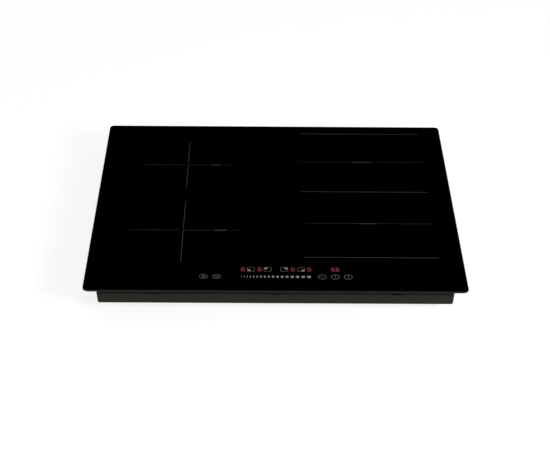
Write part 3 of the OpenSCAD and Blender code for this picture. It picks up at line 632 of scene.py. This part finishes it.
def slider_scale():
    """Power slider: bars that grow wider, and further apart, from left to right."""
    count, half_d, centre = 17, 2.5, -52.9
    bm = bmesh.new()
    for k in range(count):
        half_w = (0.5 + 5.1 * (k / (count - 1)) ** 1.15) / 2
        print_area(bm, rectangle(centre - half_w, KEY_ROW - half_d, centre + half_w, KEY_ROW + half_d))
        centre += 4.5 + 4.5 * (k / (count - 2)) ** 1.25
    piece("slider_scale", bm, BAR_MARK)


def zone_icons():
    """Rounded squares that show which zone each digit belongs to: one quarter is filled."""
    size, line, corner, inset = 11.4, 0.42, 2.6, 2.75
    inner = size - 2 * line
    bm, fills = bmesh.new(), bmesh.new()
    for x, side, depth in ((-38.4, -1, -1), (-12.4, -1, 1), (13.3, 1, 1), (39.7, 1, -1)):
        print_frame(bm, rounded_box(x, DIGIT_ROW, size, size, corner),
                    rounded_box(x, DIGIT_ROW, inner, inner, corner - line))
        print_area(fills, rounded_box(x + side * inset, DIGIT_ROW + depth * inset, 4.4, 4.2, 0.7))
    piece("zone_icons", bm, KEY_MARK)
    piece("zone_icon_quarters", fills, BAR_MARK)


# Segments of a digit: side and level of their middle as shares of the digit's half size, and direction
SEGMENTS = {
    "top": (0, 1, "flat"), "middle": (0, 0, "flat"), "bottom": (0, -1, "flat"),
    "upper_left": (-1, 0.5, "up"), "upper_right": (1, 0.5, "up"),
    "lower_left": (-1, -0.5, "up"), "lower_right": (1, -0.5, "up"),
}
FIVE = ("top", "middle", "bottom", "upper_left", "lower_right")
SIX = FIVE + ("lower_left",)
ZONE_DIGITS = ((-50.5, SIX), (-24.4, SIX), (26.9, SIX), (52.2, FIVE))
TIMER_DIGITS = ((88.8, FIVE), (96.1, SIX))


def segment_outline(kind, length, thick):
    """Bar with pointed ends, along x or along y, round the origin."""
    half, tip = length / 2, thick / 2
    line = [(-half, 0), (-half + tip, -tip), (half - tip, -tip),
            (half, 0), (half - tip, tip), (-half + tip, tip)]
    return line if kind == "flat" else [(-y, x) for x, y in line]


def seven_segment(bm, x, y, w, h, lit, thick):
    """One slanted digit, w wide and h tall, with the named segments lit."""
    lean, gap = 0.09, 0.3
    for name in lit:
        side, level, kind = SEGMENTS[name]
        length = (w - thick if kind == "flat" else h / 2 - thick / 2) - gap
        cx, cy = side * (w - thick) / 2, level * (h - thick) / 2
        outline = segment_outline(kind, length, thick)
        print_area(bm, [(x + px + cx + lean * (py + cy), y + py + cy) for px, py in outline])


def lit_digits():
    """Red digits of the four zones and the two-digit timer."""
    bm = bmesh.new()
    for x, lit in ZONE_DIGITS:
        seven_segment(bm, x, DIGIT_ROW, 5.8, 10.4, lit, 1.05)
    for x, lit in TIMER_DIGITS:
        seven_segment(bm, x, DIGIT_ROW, 5.4, 9.8, lit, 1.25)
    piece("lit_digits", bm, RED_LIGHT)


def halo_plate(bm, glow, x, y, w, d):
    """Flat plate under a display whose glow falls from full at the middle to none at its edge."""
    falloff = ((0.45, 0.85), (0.65, 0.5), (0.82, 0.15), (1.0, 0.0))    # share of the way out, glow
    steps = 32
    rings = []
    for share, level in falloff:
        line = []
        for i in range(steps):
            angle = 2 * math.pi * i / steps
            c, s = math.cos(angle), math.sin(angle)
            reach = (abs(c) ** 3 + abs(s) ** 3) ** (-1 / 3)
            vert = bm.verts.new(((x + share * w / 2 * reach * c) * MM,
                                 (y + share * d / 2 * reach * s) * MM, HALO_HIGH))
            vert[glow] = level
            line.append(vert)
        rings.append(line)
    middle = bm.verts.new((x * MM, y * MM, HALO_HIGH))
    middle[glow] = 1.0
    foot = [bm.verts.new((v.co.x, v.co.y, HALO_LOW)) for v in rings[-1]]
    for i in range(steps):
        j = (i + 1) % steps
        bm.faces.new((middle, rings[0][i], rings[0][j]))
        for inner, outer in zip(rings, rings[1:]):
            bm.faces.new((inner[i], outer[i], outer[j], inner[j]))
        bm.faces.new((rings[-1][i], foot[i], foot[j], rings[-1][j]))
    bm.faces.new(list(reversed(foot)))


def display_halos():
    """Glow round each zone's digit and round the timer."""
    digit_w, timer_w, halo_d = 12.5, 20.0, 19.0
    bm = bmesh.new()
    glow = bm.verts.layers.float.new("glow")
    for x, _ in ZONE_DIGITS:
        halo_plate(bm, glow, x, DIGIT_ROW, digit_w, halo_d)
    timer_middle = (TIMER_DIGITS[0][0] + TIMER_DIGITS[1][0]) / 2
    halo_plate(bm, glow, timer_middle, DIGIT_ROW, timer_w, halo_d)
    piece("display_halos", bm, RED_HALO)


def printed_glass():
    """Everything printed on the glass or shining through it."""
    zone_cross("zone_rear_left_cross", -149.0, 120.0, 75.7, 78.3, (-111, -91))
    zone_cross("zone_front_left_cross", -148.5, -90.0, 89.5, 91.2, (-99, -76))
    flex_zone()
    touch_keys()
    slider_scale()
    zone_icons()
    display_halos()
    lit_digits()


# ---------------- wire and cable

def smooth_path(points, bend, steps=5):
    """Polyline in mm whose corners are rounded off over a distance bend."""
    points = [Vector(p) for p in points]
    path = [points[0]]
    for before, corner, after in zip(points, points[1:], points[2:]):
        reach = min(bend, (before - corner).length / 2, (after - corner).length / 2)
        start = corner + (before - corner).normalized() * reach
        end = corner + (after - corner).normalized() * reach
        for k in range(steps + 1):
            t = k / steps
            path.append(start * (1 - t) ** 2 + corner * 2 * t * (1 - t) + end * t ** 2)
    path.append(points[-1])
    return path


def even_path(points, step):
    """The same line with points an even distance apart."""
    lengths = [0.0]
    for a, b in zip(points, points[1:]):
        lengths.append(lengths[-1] + (b - a).length)
    count = max(2, round(lengths[-1] / step))
    path, k = [], 0
    for i in range(count + 1):
        goal = lengths[-1] * i / count
        while k < len(points) - 2 and lengths[k + 1] < goal:
            k += 1
        span = max(1e-9, lengths[k + 1] - lengths[k])
        path.append(points[k].lerp(points[k + 1], (goal - lengths[k]) / span))
    return path


def sweep(bm, path, radii, twist=0.0):
    """Closed tube in mm along a path. radii go round the tube; twist is in radians a step."""
    sides = len(radii)
    normal = Vector((0.0, 0.0, 1.0))
    rings = []
    for i, here in enumerate(path):
        tangent = (path[min(i + 1, len(path) - 1)] - path[max(i - 1, 0)]).normalized()
        normal = normal - tangent * normal.dot(tangent)
        if normal.length < 1e-4:
            normal = tangent.orthogonal()
        normal.normalize()
        across = tangent.cross(normal)
        line = []
        for j, radius in enumerate(radii):
            angle = 2 * math.pi * j / sides + twist * i
            offset = (normal * math.cos(angle) + across * math.sin(angle)) * radius
            line.append(bm.verts.new((here + offset) * MM))
        rings.append(line)
    skin(bm, rings)


def wire(bm, points, radius, bend=4.0, step=1.5, sides=10):
    """Round wire in mm along a polyline with rounded corners."""
    sweep(bm, even_path(smooth_path(points, bend), step), [radius] * sides)


def litz(radius):
    """Radii round a rope of six bundles of strands: crest, valley, crest..."""
    return [radius, radius * 0.8] * 6


# ---------------- coil heads

PLATE_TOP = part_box("support_plate")[1].z / MM
BOARD_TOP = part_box("filter_board")[1].z / MM
CARRIER_LOW = -7.2                     # underside of a coil carrier's web
WIRE_LEVEL = -0.5                      # middle of a winding
TAIL_LEVEL = -4.3                      # where a winding's ends run, between web and winding
TURN_PITCH = 3.4
STRAND_TWIST = 36.0                    # length of one twist of the strands
STEM_ANGLES = (90, 210, 330)           # where a head's three stems stand
# leads are the two lead holes from the centre, inner_end is the direction of the inmost turn's end in
# degrees, and stem_ring is the radius on which the stems stand
Zone = namedtuple("Zone", "centre half_w half_d corner turns leads inner_end stem_ring")
ZONES = {
    "fl": Zone((-149, -90), 88, 88, 88, 17, ((-40, -58), (-52, -47)), 222.1, 66),
    "rl": Zone((-149, 120), 75, 75, 75, 13, ((-36, -44), (-46, -34)), 216.5, 54),
    "fr": Zone((150, -68), 100, 93, 48, 19, ((-52, -66), (-38, -66)), 219.0, 70),
    "rr": Zone((150, 132), 100, 93, 48, 19, ((-52, -44), (-38, -44)), 219.0, 70),
}


def outline_point(half_w, half_d, corner, share):
    """Point on a rounded rectangle at a share of its length, anticlockwise from (half_w, 0)."""
    arc = math.pi / 2 * corner
    flat_w, flat_d = half_w - corner, half_d - corner
    goal = (share % 1.0) * (4 * arc + 4 * flat_w + 4 * flat_d)
    x, y, heading = half_w, 0.0, 90.0
    for flat in (flat_d, None, 2 * flat_w, None, 2 * flat_d, None, 2 * flat_w, None, flat_d):
        part = min(goal, arc if flat is None else flat)
        angle = math.radians(heading)
        if flat is None:
            cx = x - corner * math.sin(angle)
            cy = y + corner * math.cos(angle)
            heading += math.degrees(part / corner)
            angle = math.radians(heading)
            x = cx + corner * math.sin(angle)
            y = cy - corner * math.cos(angle)
        else:
            x += part * math.cos(angle)
            y += part * math.sin(angle)
        goal -= part
        if goal <= 1e-9:
            break
    return x, y


def share_at(half_w, half_d, corner, degrees):
    """Share of the outline's length at which it lies in a direction from the middle."""
    def miss(share):
        x, y = outline_point(half_w, half_d, corner, share)
        return abs((math.degrees(math.atan2(y, x)) - degrees + 180) % 360 - 180)

    return min((k / 720 for k in range(720)), key=miss)


def spiral(head):
    """Middle line of a winding, from its outer end to its inner end, seen from the coil's centre."""
    zone = ZONES[head]
    wire_r, least_corner, points_a_turn = 1.5, 9.0, 120

    def size(turned):
        inward = wire_r + TURN_PITCH * turned
        return zone.half_w - inward, zone.half_d - inward, max(zone.corner - inward, least_corner)

    last = zone.turns - 1
    lead_x, lead_y = zone.leads[0]
    begin = share_at(*size(0), math.degrees(math.atan2(lead_y, lead_x)))
    end = share_at(*size(last), zone.inner_end)
    total = last + (end - begin) % 1.0
    count = zone.turns * points_a_turn
    points = []
    for k in range(count + 1):
        turned = total * k / count
        x, y = outline_point(*size(min(turned, last)), begin + turned)
        points.append(Vector((x, y, WIRE_LEVEL)))
    return points


def litz_winding(head):
    """One spiral of stranded wire whose ends dip under the turns and out through the carrier."""
    zone = ZONES[head]
    rope_r, bend, step = 1.48, 1.6, 3.2
    turns = spiral(head)
    tails = []
    for lead, near in zip(zone.leads, (turns[0], turns[-1])):
        points = [(*lead, CARRIER_LOW), (*lead, TAIL_LEVEL),
                  (near.x, near.y, TAIL_LEVEL), (near.x, near.y, WIRE_LEVEL)]
        tails.append(smooth_path(points, bend, 4)[:-1])
    line = tails[0] + turns + tails[1][::-1]
    path = [point + Vector((*zone.centre, 0)) for point in even_path(line, step)]
    bm = bmesh.new()
    sweep(bm, path, litz(rope_r), 2 * math.pi * step / STRAND_TWIST)
    made = piece("litz_winding_" + head, bm, "litz_wire", "coil_head_" + head, smooth=True)
    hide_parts("coil_winding_" + head)


def coil_line(x, y, radius, low, high, turns):
    """Middle line of a compression spring whose end coils lie flat."""
    steps, closed = 26, 0.7
    points = []
    for k in range(round(turns * steps) + 1):
        turn = k / steps
        rise = min(max((turn - closed) / (turns - 2 * closed), 0.0), 1.0)
        points.append(Vector((*polar(x, y, radius, 2 * math.pi * turn), low + (high - low) * rise)))
    return points


def press_springs(head):
    """Three springs that press a coil head up against the glass."""
    (x, y), ring_r = ZONES[head].centre, ZONES[head].stem_ring
    low, high = (v.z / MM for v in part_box("springs_" + head))
    wire_r, coil_r, turns = 0.4, 3.8, 4.5
    bm = bmesh.new()
    for degrees in STEM_ANGLES:
        foot = polar(x, y, ring_r, math.radians(degrees))
        sweep(bm, coil_line(*foot, coil_r, low + wire_r, high - wire_r, turns), [wire_r] * 10)
    made = piece("press_springs_" + head, bm, "spring_steel", smooth=True)
    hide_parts("springs_" + head)
    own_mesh(made)


def lathe(bm, x, y, z, profile):
    """Solid turned from (radius, height) points in mm, closed at both ends."""
    rings = []
    for radius, height in profile:
        line = scaled(circle_points(x, y, radius, 24))
        rings.append([bm.verts.new((px, py, (z + height) * MM)) for px, py in line])
    skin(bm, rings)


def lead_wires(head):
    """Two sleeved leads from a winding's ends down to the power board, each with a bow in it."""
    x, y = ZONES[head].centre
    rope_r, sleeve_r, bow, bow_level = 1.25, 1.75, 2.2, -25.5
    lug = [(2.6, 0.0), (2.6, 0.9), (1.9, 1.3), (1.9, 3.4), (1.55, 3.8)]
    sleeves, ropes, lugs = bmesh.new(), bmesh.new(), bmesh.new()
    for (dx, dy), side in zip(ZONES[head].leads, (-1, 1)):
        px, py = x + dx, y + dy
        line = [(px, py, CARRIER_LOW - 0.2), (px, py, PLATE_TOP - 3), (px + side * bow, py - 1.5, bow_level),
                (px, py, BOARD_TOP + 7), (px, py, BOARD_TOP + 1)]
        path = even_path(smooth_path(line, 6.0, 8), 1.2)
        sweep(ropes, path, litz(rope_r), 0.2)
        sweep(sleeves, path[2:-4], [sleeve_r] * 12)
        lathe(lugs, px, py, BOARD_TOP, lug)
    cover = piece("lead_sleeves_" + head, sleeves, "lead_sleeve", None, smooth=True)
    core = piece("lead_wires_" + head, ropes, "litz_wire", None, smooth=True)
    for made in (cover, core):
        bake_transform(made)
    piece("lead_lugs_" + head, lugs, "contact_spring", smooth=True)
    return cover


def coil_heads():
    """Windings, springs and leads of the four heads."""
    for head in HEADS:
        litz_winding(head)
        press_springs(head)
        lead_wires(head)
    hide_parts("coil_leads")


# ---------------- boards and wiring

CHOKES = ((-201, -110, 15), (201, -110, 15), (-34, 22, 12), (34, 22, 12), (30, 126, 13))    # x, y, radius
KEY_SPRINGS = (-111.5, -91.5, 72, 92, 112)     # x of the touch springs
# Fields of small parts on the right-hand board as x0, y0, x1, y1, and the parts' width, depth and height
PART_FIELDS = ((78, -154, 178, -134), (22, -146, 46, -96), (164, -120, 182, 78), (49, -56, 68, 58))
PART_SIZES = ((3.2, 1.6, 0.9), (2.0, 1.25, 0.7), (4.2, 2.4, 1.8))
SENSOR_PLUGS = {"fl": (-62, -140), "fr": (62, -140), "rl": (-70, 89), "rr": (70, 89)}
WIRE_COLORS = {"red": (0.42, 0.03, 0.02), "white": (0.66, 0.66, 0.62), "black": (0.025, 0.025, 0.027)}


def choke_coils():
    """Enamelled wire wound round each ring core, its ends soldered to the board."""
    bm = bmesh.new()
    wire_r, turns, first, last = 0.75, 15, 15.0, 345.0
    half_w, half_h, count = 3.35, 5.35, 15 * 28
    for x, y, outer in CHOKES:
        middle, level = outer - 2.5, BOARD_TOP + 6.7
        line = []
        for k in range(count + 1):
            around = math.radians(first + (last - first) * k / count)
            angle = 2 * math.pi * turns * k / count - math.pi / 2
            c, s = math.cos(angle), math.sin(angle)
            reach = (abs(c) ** 5 + abs(s) ** 5) ** (-1 / 5)
            out = polar(x, y, middle + half_w * reach * c, around)
            line.append(Vector((*out, level + half_h * reach * s)))
        feet = [Vector((p.x, p.y, BOARD_TOP - 0.4)) for p in (line[0], line[-1])]
        sweep(bm, [feet[0]] + line[3:-3] + [feet[1]], [wire_r] * 8)
    made = piece("choke_coils", bm, "copper_wire", smooth=True)
    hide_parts("choke_windings")


def contact_springs():
    """Spring under each touch key; its top winds inwards into a flat contact."""
    low, high = (v.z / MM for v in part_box("touch_springs"))
    wire_r, coil_r, steps, rise_turns, flat_turns = 0.35, 3.95, 24, 4.0, 2.0
    bm = bmesh.new()
    for x in KEY_SPRINGS:
        line = []
        for k in range(round((rise_turns + flat_turns) * steps) + 1):
            turn = k / steps
            inward = max(0.0, turn - rise_turns) / flat_turns
            radius = coil_r - 2.6 * inward
            level = low + wire_r + (high - low - 2 * wire_r) * min(1.0, turn / rise_turns)
            line.append(Vector((*polar(x, KEY_ROW, radius, 2 * math.pi * turn), level)))
        sweep(bm, line, [wire_r] * 8)
    made = piece("contact_springs", bm, "contact_spring", smooth=True)
    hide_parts("touch_springs")


def box(bm, x, y, z, w, d, h):
    prism(bm, scaled(rectangle(x - w / 2, y - d / 2, x + w / 2, y + d / 2)), z * MM, (z + h) * MM)


def small_parts(bodies, ends, side):
    """Rows of resistors and capacitors, scattered over the fields of one power board."""
    for x0, y0, x1, y1 in PART_FIELDS:
        y = y0 + 3
        while y < y1 - 2:
            x = x0 + RNG.uniform(2, 5)
            while x < x1 - 3:
                w, d, h = RNG.choice(PART_SIZES)
                box(bodies, side * x, y, BOARD_TOP + 0.05, w - 0.8, d - 0.05, h)
                for end in (-1, 1):
                    box(ends, side * x + end * (w / 2 - 0.25), y, BOARD_TOP, 0.6, d, h + 0.1)
                x += w + RNG.uniform(2.5, 9)
            y += RNG.uniform(4.5, 7.5)


def chip_legs(bm, side):
    """Bent legs along the four sides of a controller chip."""
    half, legs, pitch, radius = 9.0, 11, 1.5, 0.22
    profile = ((half - 0.2, 1.0), (half + 0.7, 1.0), (half + 1.0, 0.2), (half + 1.9, 0.12))
    centre = Vector((side * 60, -119, BOARD_TOP))
    for k in range(legs):
        shift = (k - legs // 2) * pitch
        for turn in range(4):
            spin = Matrix.Rotation(math.radians(90 * turn), 3, "Z")
            sweep(bm, [spin @ Vector((out, shift, z)) + centre for out, z in profile], [radius] * 4)


def plug_pins(bm, side):
    """Pins of the plug at the front of one power board."""
    width, height, pins, pitch = 0.6, 5.2, 8, 2
    for k in range(pins):
        box(bm, side * 69 - 7 + pitch * k, -153, BOARD_TOP + 3, width, width, height)


def chip_parts():
    """Surface-mounted parts, chip legs and plug pins of both power boards."""
    bodies, ends, legs = bmesh.new(), bmesh.new(), bmesh.new()
    for side in (-1, 1):
        small_parts(bodies, ends, side)
        chip_legs(legs, side)
        plug_pins(legs, side)
    piece("chip_bodies", bodies, "package_epoxy")
    piece("chip_ends", ends, "zinc_fastener")
    piece("chip_legs", legs, "zinc_fastener")


def blower_cables(bundles):
    """Three wires from each blower to its power board."""
    route = ((174, 122, -37), (178, 112, -38), (185, 100, -38), (185, 86, -32.5), (185, 86, BOARD_TOP + 6))
    for side in (-1, 1):
        for k, bm in enumerate(bundles):
            wire(bm, [(side * x + 1.5 * (k - 1), y, z) for x, y, z in route], 0.65)


def sensor_wires(bm):
    """A pair of wires from each temperature sensor, under the plate, to its power board."""
    level = PLATE_TOP - 4.6
    for head in HEADS:
        (x, y), (fx, fy) = ZONES[head].centre, SENSOR_PLUGS[head]
        for k in (-1, 1):
            wire(bm, [(x + k, y, PLATE_TOP - 2.4), (x + k, y, level), (fx + k, y, level),
                      (fx + k, fy, level), (fx + k, fy, BOARD_TOP)], 0.5, bend=9.0, step=2.0, sides=8)


def terminal_wires(bm):
    """Five short wires from the terminal block to the filter board."""
    route = ((154, -40.5), (149.5, -40.5), (147, -36.5), (144, -37), (144, BOARD_TOP))
    for k in range(-2, 3):
        wire(bm, [(k * 11, y, z) for y, z in route], 1.1)


def mains_jumpers(bm):
    """One wire from the filter board to each power board."""
    route = ((54, 112, BOARD_TOP), (54, 112, -34), (28, 80, -34), (28, 80, BOARD_TOP))
    for side in (-1, 1):
        wire(bm, [(side * x, y, z) for x, y, z in route], 1.3, bend=6.0)


def wiring():
    """Blower cables, sensor wires, terminal wires and mains jumpers, one piece for each colour."""
    red, white, black = bmesh.new(), bmesh.new(), bmesh.new()
    blower_cables((red, white, black))
    sensor_wires(white)
    terminal_wires(black)
    mains_jumpers(red)
    for (color, tone), bm in zip(WIRE_COLORS.items(), (red, white, black)):
        piece("wires_" + color, bm, moulded_plastic("wire_" + color, tone, 0.42, 0.08), smooth=True)


# ---------------- rounded edges of the CAD parts

BEVELS = {                             # width of the rounding in mm, and the parts that have it
    0.1: ("digit_displays", "terminal_cover_screws"),
    0.12: ("casing_screws",),
    0.15: ("glass_frame", "slider_sensor", "clamp_screws"),
    0.2: ("support_plate", "heat_sinks", "power_transistors", "terminal_cover", "blower_motors",
          "blower_rotor_left", "blower_rotor_right", "clamp_spacers"),
    0.22: ("glass_top",),
    0.25: ("panel_carrier",),
    0.3: ("blower_housings", "blower_lids"),
    0.4: ("bridge_rectifiers", "terminal_block"),
    0.5: ("edge_seal",),
    0.7: ("relays",),
    0.8: ("choke_cores", "cable_clamp"),
    0.9: ("film_capacitors",),
}


def soften(node, width_mm, segments=2):
    """Rounds the sharp edges of a CAD part, as pressing, moulding or deburring does."""
    bevel = NODES[node].modifiers.new("edge_round", "BEVEL")
    bevel.width = width_mm * MM
    bevel.segments = segments
    bevel.limit_method = "ANGLE"
    bevel.angle_limit = math.radians(40)
    bevel.use_clamp_overlap = True
    bevel.harden_normals = True


def soften_edges():
    for width, nodes in BEVELS.items():
        for node in nodes:
            soften(node, width)
    for head in HEADS:
        soften("clamp_" + head, 0.3, 3)
        soften("ferrites_" + head, 0.4)
        soften("mica_sheet_" + head, 0.1)


# ---------------- stage

def pale_floor():
    """Pale light table: it glows a little, so shadows stay soft, and isn't drawn from below."""
    color, glow, half, gap = (0.22, 0.22, 0.22), 0.82, 30.0, 0.0002
    finish = Finish("floor", color, 0.9)
    mottled(finish, color, 0.008, 3)
    finish.set("Specular IOR Level", 0.1)
    finish.set("Emission Color", (1.0, 1.0, 1.0, 1.0))
    finish.set("Emission Strength", glow)
    clear = finish.nodes.new("ShaderNodeBsdfTransparent")
    behind = finish.nodes.new("ShaderNodeNewGeometry")
    mix = finish.nodes.new("ShaderNodeMixShader")
    output = finish.nodes["Material Output"]
    finish.join(behind.outputs["Backfacing"], mix.inputs["Fac"])
    finish.join(finish.shader.outputs["BSDF"], mix.inputs[1])
    finish.join(clear.outputs["BSDF"], mix.inputs[2])
    finish.join(mix.outputs["Shader"], output.inputs["Surface"])
    bm = bmesh.new()
    bm.faces.new([bm.verts.new((x, y, FLOOR_Z - gap)) for x, y in rectangle(-half, -half, half, half)])
    piece("floor", bm, finish.material, body=None)


def studio_world():
    """White room for the eye and for soft light, dark for reflections, so the glass stays black."""
    seen_level, soft_level, mirrored_level = 1.0, 0.40, 0.0006
    world = bpy.data.worlds.new("studio")
    bpy.context.scene.world = world
    world.use_nodes = True
    nodes, links = world.node_tree.nodes, world.node_tree.links
    background = nodes["Background"]
    background.inputs["Color"].default_value = (1.0, 1.0, 1.0, 1.0)
    rays = nodes.new("ShaderNodeLightPath")
    level = nodes.new("ShaderNodeMix")
    level.inputs["A"].default_value = soft_level
    level.inputs["B"].default_value = mirrored_level
    links.new(rays.outputs["Is Glossy Ray"], level.inputs["Factor"])
    seen = nodes.new("ShaderNodeMix")
    seen.inputs["B"].default_value = seen_level
    links.new(rays.outputs["Is Camera Ray"], seen.inputs["Factor"])
    links.new(level.outputs["Result"], seen.inputs["A"])
    links.new(seen.outputs["Result"], background.inputs["Strength"])


LIGHTS = (
    # name, place, size, watts, colour
    ("key", (1.25, -1.45, 1.02), (0.8, 0.5), 48, (1.0, 0.99, 0.975)),
    ("top", (-0.4, 0.6, 3.4), (3.0, 3.0), 26, (1.0, 1.0, 1.0)),
)


def soft_light(name, place, size, power, color):
    """Area lamp that lights everything but the glass, so no lamp is mirrored in it from any side."""
    aim = Vector((0.0, 0.0, FLOOR_Z))
    data = bpy.data.lights.new(name, "AREA")
    data.shape = "RECTANGLE"
    data.size, data.size_y = size
    data.energy = power
    data.color = color
    lamp = bpy.data.objects.new(name, data)
    bpy.context.scene.collection.objects.link(lamp)
    lamp.location = place
    lamp.rotation_euler = (aim - Vector(place)).to_track_quat("-Z", "Y").to_euler()
    unlit = bpy.data.collections.new("not_lit_by_" + name)
    unlit.objects.link(NODES["glass_top"])
    unlit.collection_objects[0].light_linking.link_state = "EXCLUDE"
    lamp.light_linking.receiver_collection = unlit


def photo_camera():
    """Long lens, 32 degrees above the worktop, turned and tipped by about half a degree."""
    azimuth, elevation, roll = math.radians(-0.606), math.radians(32.20), math.radians(-0.6375)
    target = Vector((-0.00033, -0.06694, GLASS_LOW.z))
    distance, lens, sensor = 2.571, 103.45, 36.0
    back = Vector((math.sin(azimuth) * math.cos(elevation), -math.cos(azimuth) * math.cos(elevation),
                   math.sin(elevation)))
    right = Vector((0, 0, 1)).cross(back).normalized()
    up = back.cross(right)
    tipped_right = math.cos(roll) * right - math.sin(roll) * up
    tipped_up = math.sin(roll) * right + math.cos(roll) * up
    data = bpy.data.cameras.new("camera")
    data.lens, data.sensor_width = lens, sensor
    data.clip_start, data.clip_end = 0.1, 200.0
    camera = bpy.data.objects.new("camera", data)
    bpy.context.scene.collection.objects.link(camera)
    turn = Matrix((tipped_right, tipped_up, back)).transposed().to_4x4()
    camera.matrix_world = Matrix.Translation(target + back * distance) @ turn
    bpy.context.scene.camera = camera


printed_glass()
coil_heads()
choke_coils()
contact_springs()
chip_parts()
wiring()
soften_edges()
pale_floor()
studio_world()
for light in LIGHTS:
    soft_light(*light)
photo_camera()
bpy.context.scene.view_settings.view_transform = "Standard"
